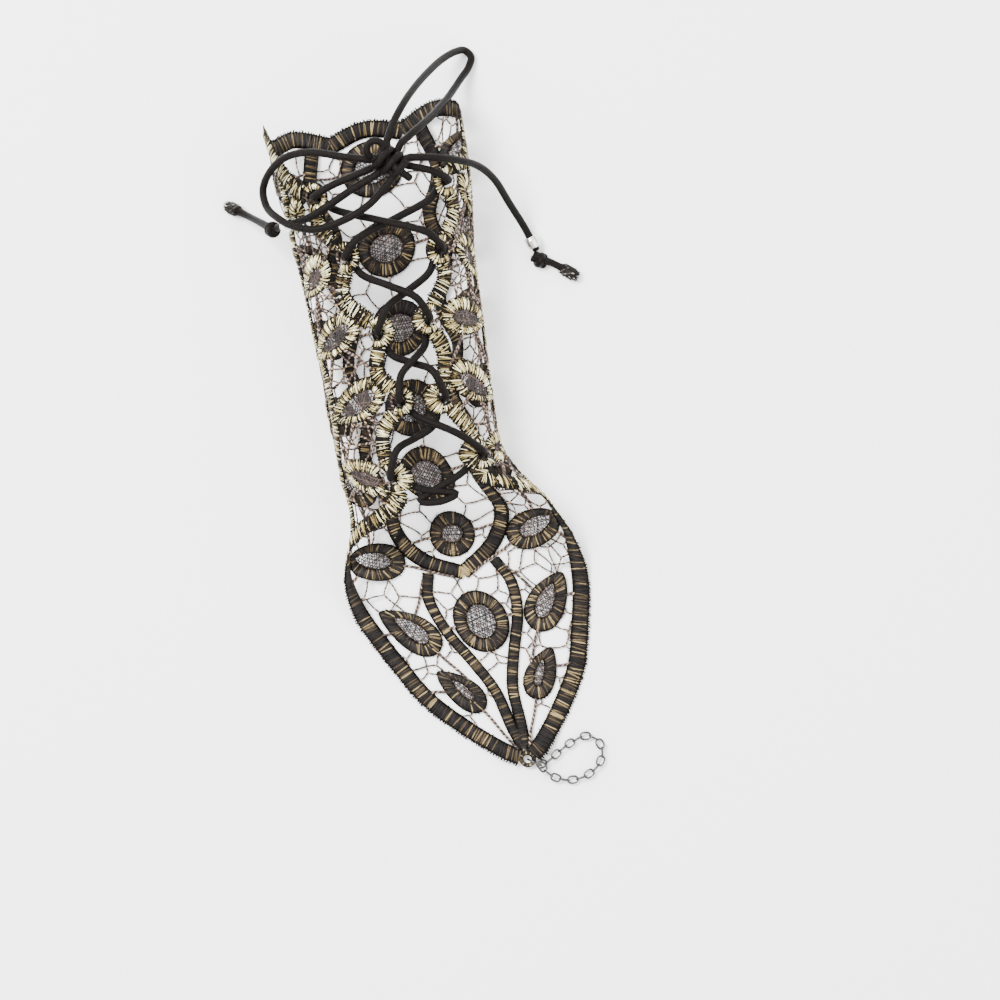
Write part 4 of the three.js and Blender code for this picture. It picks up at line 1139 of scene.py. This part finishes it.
metals = {
    "silver": {"name": "silverBead", "grain": 700, "bump": 0.12, "rough": (0.12, 0.3),
               "colors": [(0.35, (0.78, 0.78, 0.76)), (0.75, (0.6, 0.6, 0.58))]},
    "gunmetal": {"name": "gunmetal", "grain": 900, "bump": 0.12, "rough": (0.2, 0.4),
                 "colors": [(0.35, (0.05, 0.048, 0.05)), (0.75, (0.12, 0.115, 0.11))]},
}


def metalMaterial(settings):
    material, tree, shader = newMaterial(settings["name"])
    yarn = addYarn(tree, settings)
    fillInputs(tree, shader, {
        "Base Color": addRamp(tree, yarn.outputs["Value"], settings["colors"]),
        "Normal": yarn.outputs["Normal"],
        "Roughness": addRough(tree, yarn.outputs["Value"], settings["rough"]),
        "Metallic": 1})
    return material


finishes["cord"] = cordMaterial()
for name, settings in metals.items():
    finishes[name] = metalMaterial(settings)

# Satin stitches and the black ground beneath them
stitching = {
    "gold": {"shape": "stitch", "width": 0.33, "crown": 0.44, "lengthSpread": 0.14,
             "widthSpread": 0.35, "sway": 0.2, "toneSpread": 0.48, "seed": 3,
             "foot": -0.82, "finish": "gold"},
    "between": {"shape": "lowStitch", "width": 0.44, "crown": 0.46, "lengthSpread": 0.16,
                "widthSpread": 0.3, "sway": 0.25, "toneSpread": 0.4, "seed": 17,
                "foot": -0.8, "finish": "black"},
    "wrong": {"shape": "flatStitch", "width": 0.5, "crown": 0.3, "lengthSpread": 0.06,
              "widthSpread": 0.15, "sway": 0.14, "toneSpread": 0.5, "seed": 29,
              "foot": -1.15, "finish": "wrong"},
}


def pairSet(names):
    a = np.vstack([m[0][m[2]] for name in names for m in laid[name]])
    b = np.vstack([m[1][m[2]] for name in names for m in laid[name]])
    return a, b


def stitchPiece(name, names, kind, longer, every=1):
    a, b = (points[::every] for points in pairSet(names))
    settings = stitching[kind]
    foot = settings["foot"]
    middle = (a + b) / 2
    places = sheetPoints(middle, foot)
    across = sheetPoints(b, foot) - sheetPoints(a, foot)
    outward = outwardAt(middle[:, 0], middle[:, 1])
    reach = np.linalg.norm(across, axis=1) * longer
    if kind == "wrong":
        outward = -outward
    shine = 0.5 + 0.12 * np.sin(middle[:, 0] * 0.21 + 1.3) * np.sin(middle[:, 1] * 0.17)
    return scatter(name, places, unit(across), outward, reach, shine,
                   finishes[settings["finish"]], settings)


allMotifs = ["scallops", "edges", "rings", "stems"]
goldPieces = [stitchPiece(name, names, "gold", 1.04) for name, names in (
    ("gold_edge_stitches", ["scallops", "edges"]), ("gold_ring_stitches", ["rings"]),
    ("gold_stem_stitches", ["stems"]))]
blackThreads = stitchPiece("black_outline_stitches", allMotifs, "between", 1.2, every=2)
wrongSide = stitchPiece("wrong_side_stitches", allMotifs, "wrong", 0.99)
stitchPieces = goldPieces + [blackThreads, wrongSide]
print("stitches:", [len(o.data.polygons) for o in stitchPieces])


# The ground: strips that run beneath the stitches, closed at their ends
def makeGround():
    top, bottom, crown, inset, every = -0.5, -1.2, 0.18, -0.22, 2
    half = (top + bottom) / 2
    profile = [(0, half), (0.15, top), (0.5, top + crown), (0.85, top), (1, half),
               (0.85, bottom), (0.15, bottom)]
    sides = len(profile)
    points, faces, count = [], [], 0
    for name in laid:
        for a, b, keep in laid[name]:
            for run, whole in splitRuns(keep, name in ("scallops", "rings")):
                ids = run[::every]
                if not whole and ids[-1] != run[-1]:
                    ids = np.append(ids, run[-1])
                if len(ids) < 2:
                    continue
                across = unit(b[ids] - a[ids])
                left, right = a[ids] + across * inset, b[ids] - across * inset
                rows = [sheetPoints(left * (1 - share) + right * share, height)
                        for share, height in profile]
                points.append(np.stack(rows, axis=1).reshape(-1, 3))
                faces += gridFaces(len(ids), sides, whole, count)
                last = count + (len(ids) - 1) * sides
                if not whole:
                    faces.append(tuple(range(count, count + sides)))
                    faces.append(tuple(range(last, last + sides))[::-1])
                count += len(ids) * sides
    return newObject("lace_ground", np.vstack(points), faces)


def splitRuns(keep, closed):
    ids = np.flatnonzero(keep)
    if len(ids) == 0:
        return []
    if closed and keep.all():
        return [(ids, True)]
    breaks = np.flatnonzero(np.diff(ids) > 1)
    runs = np.split(ids, breaks + 1)
    if closed and keep[0] and keep[-1] and len(runs) > 1:
        runs[0] = np.concatenate([runs.pop(), runs[0]])
    return [(run, False) for run in runs]


ground = makeGround()
ground.data.materials.append(finishes["black"])


# Turns every shell of a joined mesh outwards
def faceOut(piece):
    bpy.context.view_layer.objects.active = piece
    for other in bpy.context.selected_objects:
        other.select_set(False)
    piece.select_set(True)
    bpy.ops.object.mode_set(mode="EDIT")
    bpy.ops.mesh.select_all(action="SELECT")
    bpy.ops.mesh.normals_make_consistent(inside=False)
    bpy.ops.object.mode_set(mode="OBJECT")


# Twisted bars, fine bars and the see-through net inside the rings
barThreads = {"shape": "grain", "width": 0.56, "crown": 0.56, "lengthSpread": 0.12,
              "widthSpread": 0.15, "sway": 0.18, "toneSpread": 0.2, "seed": 41,
              "pitch": 0.52, "lean": 0.62, "reach": 1.4, "sag": 0.21,
              "faces": ((1, -0.55), (-1, -1.02))}
fineThreads = {"shape": "speck", "width": 0.44, "crown": 0.44, "lengthSpread": 0.15,
               "widthSpread": 0.2, "sway": 0.2, "toneSpread": 0.25, "seed": 47,
               "pitch": 0.5, "lean": 0.45, "reach": 1.15, "sag": 0.16, "faces": ((1, -0.8),)}


def twistedRuns(name, runs, settings):
    places, across, outward, reach, tone = [], [], [], [], []
    for start, end in runs:
        length = float(np.linalg.norm(end - start))
        count = max(3, int(length / settings["pitch"]))
        t = (np.arange(count) + 0.5) / count
        normal = unit(np.array([-(end - start)[1], (end - start)[0]]))
        sway = settings["sag"] * np.sin(t * math.pi * 2 + length)
        flat = start + (end - start) * t[:, None] + normal * sway[:, None]
        way = unit(np.gradient(sheetPoints(flat, -0.8), axis=0))
        out = outwardAt(flat[:, 0], flat[:, 1])
        sideways = np.cross(out, way)
        for face, height in settings["faces"]:
            places.append(sheetPoints(flat, height))
            lean = settings["lean"] * face
            across.append(way * math.cos(lean) + sideways * math.sin(lean))
            outward.append(out * face)
            reach.append(np.full(count, settings["reach"]))
            tone.append(np.where(np.arange(count) % 3 == 0, 0.84, 0.2))
    return scatter(name, np.vstack(places), np.vstack(across), np.vstack(outward),
                   np.concatenate(reach), np.concatenate(tone), finishes["copper"], settings)


twistedBars = twistedRuns("twisted_bars", [(a, b) for a, b, _ in bars], barThreads)
eyeletArcs = [run for arc in scallopArcs for run in zip(arc[:-1], arc[1:])]
fineTwists = twistedRuns("fine_bars", fineBars + eyeletArcs, fineThreads)

netting = {"spacing": 0.85, "radius": 0.15, "height": -0.85, "seed": 5, "wander": 0.2,
           "smallest": 5.2, "ways": (0, 1.2, 2.2), "steps": 6, "sides": 4}


def makeNet():
    rng = random.Random(netting["seed"])
    routes, tones = [], []
    for index, outline in enumerate(holes):
        size = outline.max(axis=0) - outline.min(axis=0)
        if size.max() < netting["smallest"]:
            continue
        centre = outline.mean(axis=0)
        reach = float(np.linalg.norm(size))
        for lean in netting["ways"]:
            angle = index * 0.37 + lean
            way = np.array([math.cos(angle), math.sin(angle)])
            normal = np.array([-way[1], way[0]])
            for k in np.arange(-reach / 2, reach / 2, netting["spacing"]):
                offset = k + rng.uniform(-0.3, 0.3)
                t = np.linspace(-reach / 2, reach / 2, 40)
                line = centre + normal * offset + way * t[:, None]
                inner = np.flatnonzero(insideOutline(line, outline))
                if len(inner) < 3:
                    continue
                lo, hi = max(inner[0] - 2, 0), min(inner[-1] + 2, len(t) - 1)
                steps = netting["steps"]
                share = np.linspace(t[lo], t[hi], steps)
                wander = np.array([rng.uniform(-1, 1) for _ in range(steps)]) * netting["wander"]
                wander[0] = wander[-1] = 0
                flat = centre + normal * offset + way * share[:, None] + normal * wander[:, None]
                height = netting["height"] + 0.25 * np.sin(share * 2.1 + offset * 3 + angle)
                routes.append((sheetPoints(flat, height), netting["radius"]))
                tones += [rng.random()]
    piece = makeTubes("paisley_net", routes, netting["sides"])
    layer = piece.data.attributes.new("shade", "FLOAT", "POINT")
    per = (netting["steps"] + 2) * netting["sides"]
    layer.data.foreach_set("value", np.repeat(np.array(tones, dtype=np.float32), per))
    piece.data.materials.append(finishes["net"])
    return piece


net = makeNet()
print("bars", len(twistedBars.data.polygons), len(fineTwists.data.polygons),
      "net", len(net.data.polygons))

# Loose black picots along the outer edges
picots = {"shape": "grain", "width": 0.5, "crown": 0.45, "lengthSpread": 0.5, "widthSpread": 0.3,
          "sway": 0.75, "toneSpread": 0.4, "seed": 53, "every": 2, "reach": 1.35}


def makePicots():
    places, across, outward = [], [], []
    for (a, b, keep), side in zip(laid["edges"], (-1, 1, 0)):
        ids = np.flatnonzero(keep)[::picots["every"]]
        inner, outer = (a, b) if side < 0 else (b, a)
        way = unit(outer[ids] - inner[ids])
        flat = outer[ids] + way * 0.15
        places.append(sheetPoints(flat, -0.9))
        across.append(sheetPoints(flat + way, -0.9) - sheetPoints(flat, -0.9))
        outward.append(outwardAt(flat[:, 0], flat[:, 1]))
    places, across, outward = map(np.vstack, (places, across, outward))
    count = len(places)
    return scatter("edge_picots", places, unit(across), outward,
                   np.full(count, picots["reach"]), np.full(count, 0.4), finishes["black"], picots)


edgePicots = makePicots()

# Fibres of the frayed cord ends
fibres = {"shape": "grain", "width": 0.22, "crown": 0.22, "lengthSpread": 0.5, "widthSpread": 0.3,
          "sway": 1.0, "toneSpread": 0.5, "seed": 61, "count": 380, "shortest": 1.2,
          "longest": 3.4, "splay": 0.9}


def makeFibres(name, bulge, tipWay):
    rng = np.random.default_rng(fibres["seed"])
    t = rng.uniform(0.05, 1, fibres["count"]) ** 0.7
    angle = rng.uniform(0, 2 * math.pi, fibres["count"])
    side = unit(np.cross(tipWay, [0, 0, 1]))
    up = np.cross(side, tipWay)
    ring = side * np.cos(angle)[:, None] + up * np.sin(angle)[:, None]
    centre = bulge[0] + (bulge[-1] - bulge[0]) * t[:, None]
    swell = cord["frayDiameter"] / 2 * np.sqrt(np.clip(1 - (2 * t - 1) ** 2 * 0.8, 0.05, 1))
    places = centre + ring * swell[:, None] * 0.97
    places[:, 2] = np.maximum(places[:, 2], 0.25)
    across = unit(tipWay + ring * (0.15 + fibres["splay"] * t)[:, None])
    across[:, 2] = np.where(places[:, 2] < 0.7, np.maximum(across[:, 2], 0), across[:, 2])
    reach = rng.uniform(fibres["shortest"], fibres["longest"], fibres["count"])
    piece = scatter(name, places, unit(across), ring, reach,
                    rng.uniform(0.0, 1.0, fibres["count"]) ** 3, finishes["frayed"], fibres)
    for vertex in piece.data.vertices:
        vertex.co.z = max(vertex.co.z, 0.05 * mm)
    return piece


fibrePieces = {name: makeFibres(name + "_fibres", *frayed[name]) for name in frayed}

# Chain links laid by the same tree, and the jump ring
linkPoints, linkFaces = loopParts((chain["linkLength"] - chain["wire"]) / 2,
                                  (chain["linkWidth"] - chain["wire"]) / 2, chain["wire"] / 2,
                                  chain["steps"], chain["sides"])
shapes["link"] = newObject("linkShape", linkPoints / mm, linkFaces)
linkPlaces, linkWay, linkUp = chainPoints()
linkCount = len(linkPlaces)
made["finger_chain"] = scatter(
    "chain_links", linkPlaces, linkWay, linkUp, np.ones(linkCount), np.full(linkCount, 0.5),
    finishes["gunmetal"], {"shape": "link", "width": 1.0, "crown": 1.0, "seed": 71})


def makeJumpRing():
    points, faces = loopParts(chain["ringRadius"], chain["ringRadius"], chain["ringWire"] / 2,
                              36, 10)
    basis = np.stack([ringWay, np.array([0, 0, 1.0]), np.cross(ringWay, [0, 0, 1.0])])
    return newObject("split_jump_ring", points @ basis + ringMiddle, faces)


made["jump_ring"] = makeJumpRing()
made["jump_ring"].data.materials.append(finishes["gunmetal"])
for name, piece in made.items():
    if "bead" in name:
        piece.data.materials.append(finishes["silver"])
    elif name not in ("jump_ring", "finger_chain"):
        piece.data.materials.append(finishes["cord"])
for shape in shapes.values():
    bpy.data.objects.remove(shape)
for piece in list(made.values()) + [ground, net]:
    faceOut(piece)
print("metal and cords dressed")

# Every piece rides on the one body and stands for its node
threadPieces = stitchPieces + [twistedBars, fineTwists, net, edgePicots]
lacePieces = [ground] + threadPieces
for piece in lacePieces:
    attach(piece, "root")
    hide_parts("lace")
for name, piece in made.items():
    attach(piece, "root")
    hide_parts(name)
    if "bead" in name:
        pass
    elif name in ("jump_ring", "finger_chain"):
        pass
    else:
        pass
for name, piece in fibrePieces.items():
    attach(piece, "root")


# Pale floor and soft light
def makeStage():
    mesh = bpy.data.meshes.new("floor")
    mesh.from_pydata([(-3, -3, 0), (3, -3, 0), (3, 3, 0), (-3, 3, 0)], [], [(0, 1, 2, 3)])
    floor = bpy.data.objects.new("floor", mesh)
    bpy.context.collection.objects.link(floor)
    material, tree, shader = newMaterial("paleFloor")
    fillInputs(tree, shader, {"Base Color": (0.96, 0.96, 0.965, 1), "Roughness": 0.6})
    mesh.materials.append(material)
    for name, place, size, power in (
        ("keyLight", (-0.5, 0.55, 1.3), 0.6, 64), ("fillLight", (0.9, -0.5, 1.1), 1.6, 28),
        ("rimLight", (0.1, 1.4, 0.7), 0.8, 10),
    ):
        data = bpy.data.lights.new(name, "AREA")
        data.size, data.energy = size, power
        lamp = bpy.data.objects.new(name, data)
        lamp.location = place
        lamp.rotation_euler = Vector(place).to_track_quat("Z", "Y").to_euler()
        bpy.context.collection.objects.link(lamp)
    world = bpy.data.worlds.new("studio")
    world.use_nodes = True
    world.node_tree.nodes["Background"].inputs["Color"].default_value = (1, 1, 1, 1)
    world.node_tree.nodes["Background"].inputs["Strength"].default_value = 1.7
    bpy.context.scene.world = world


makeStage()
print("stage set")
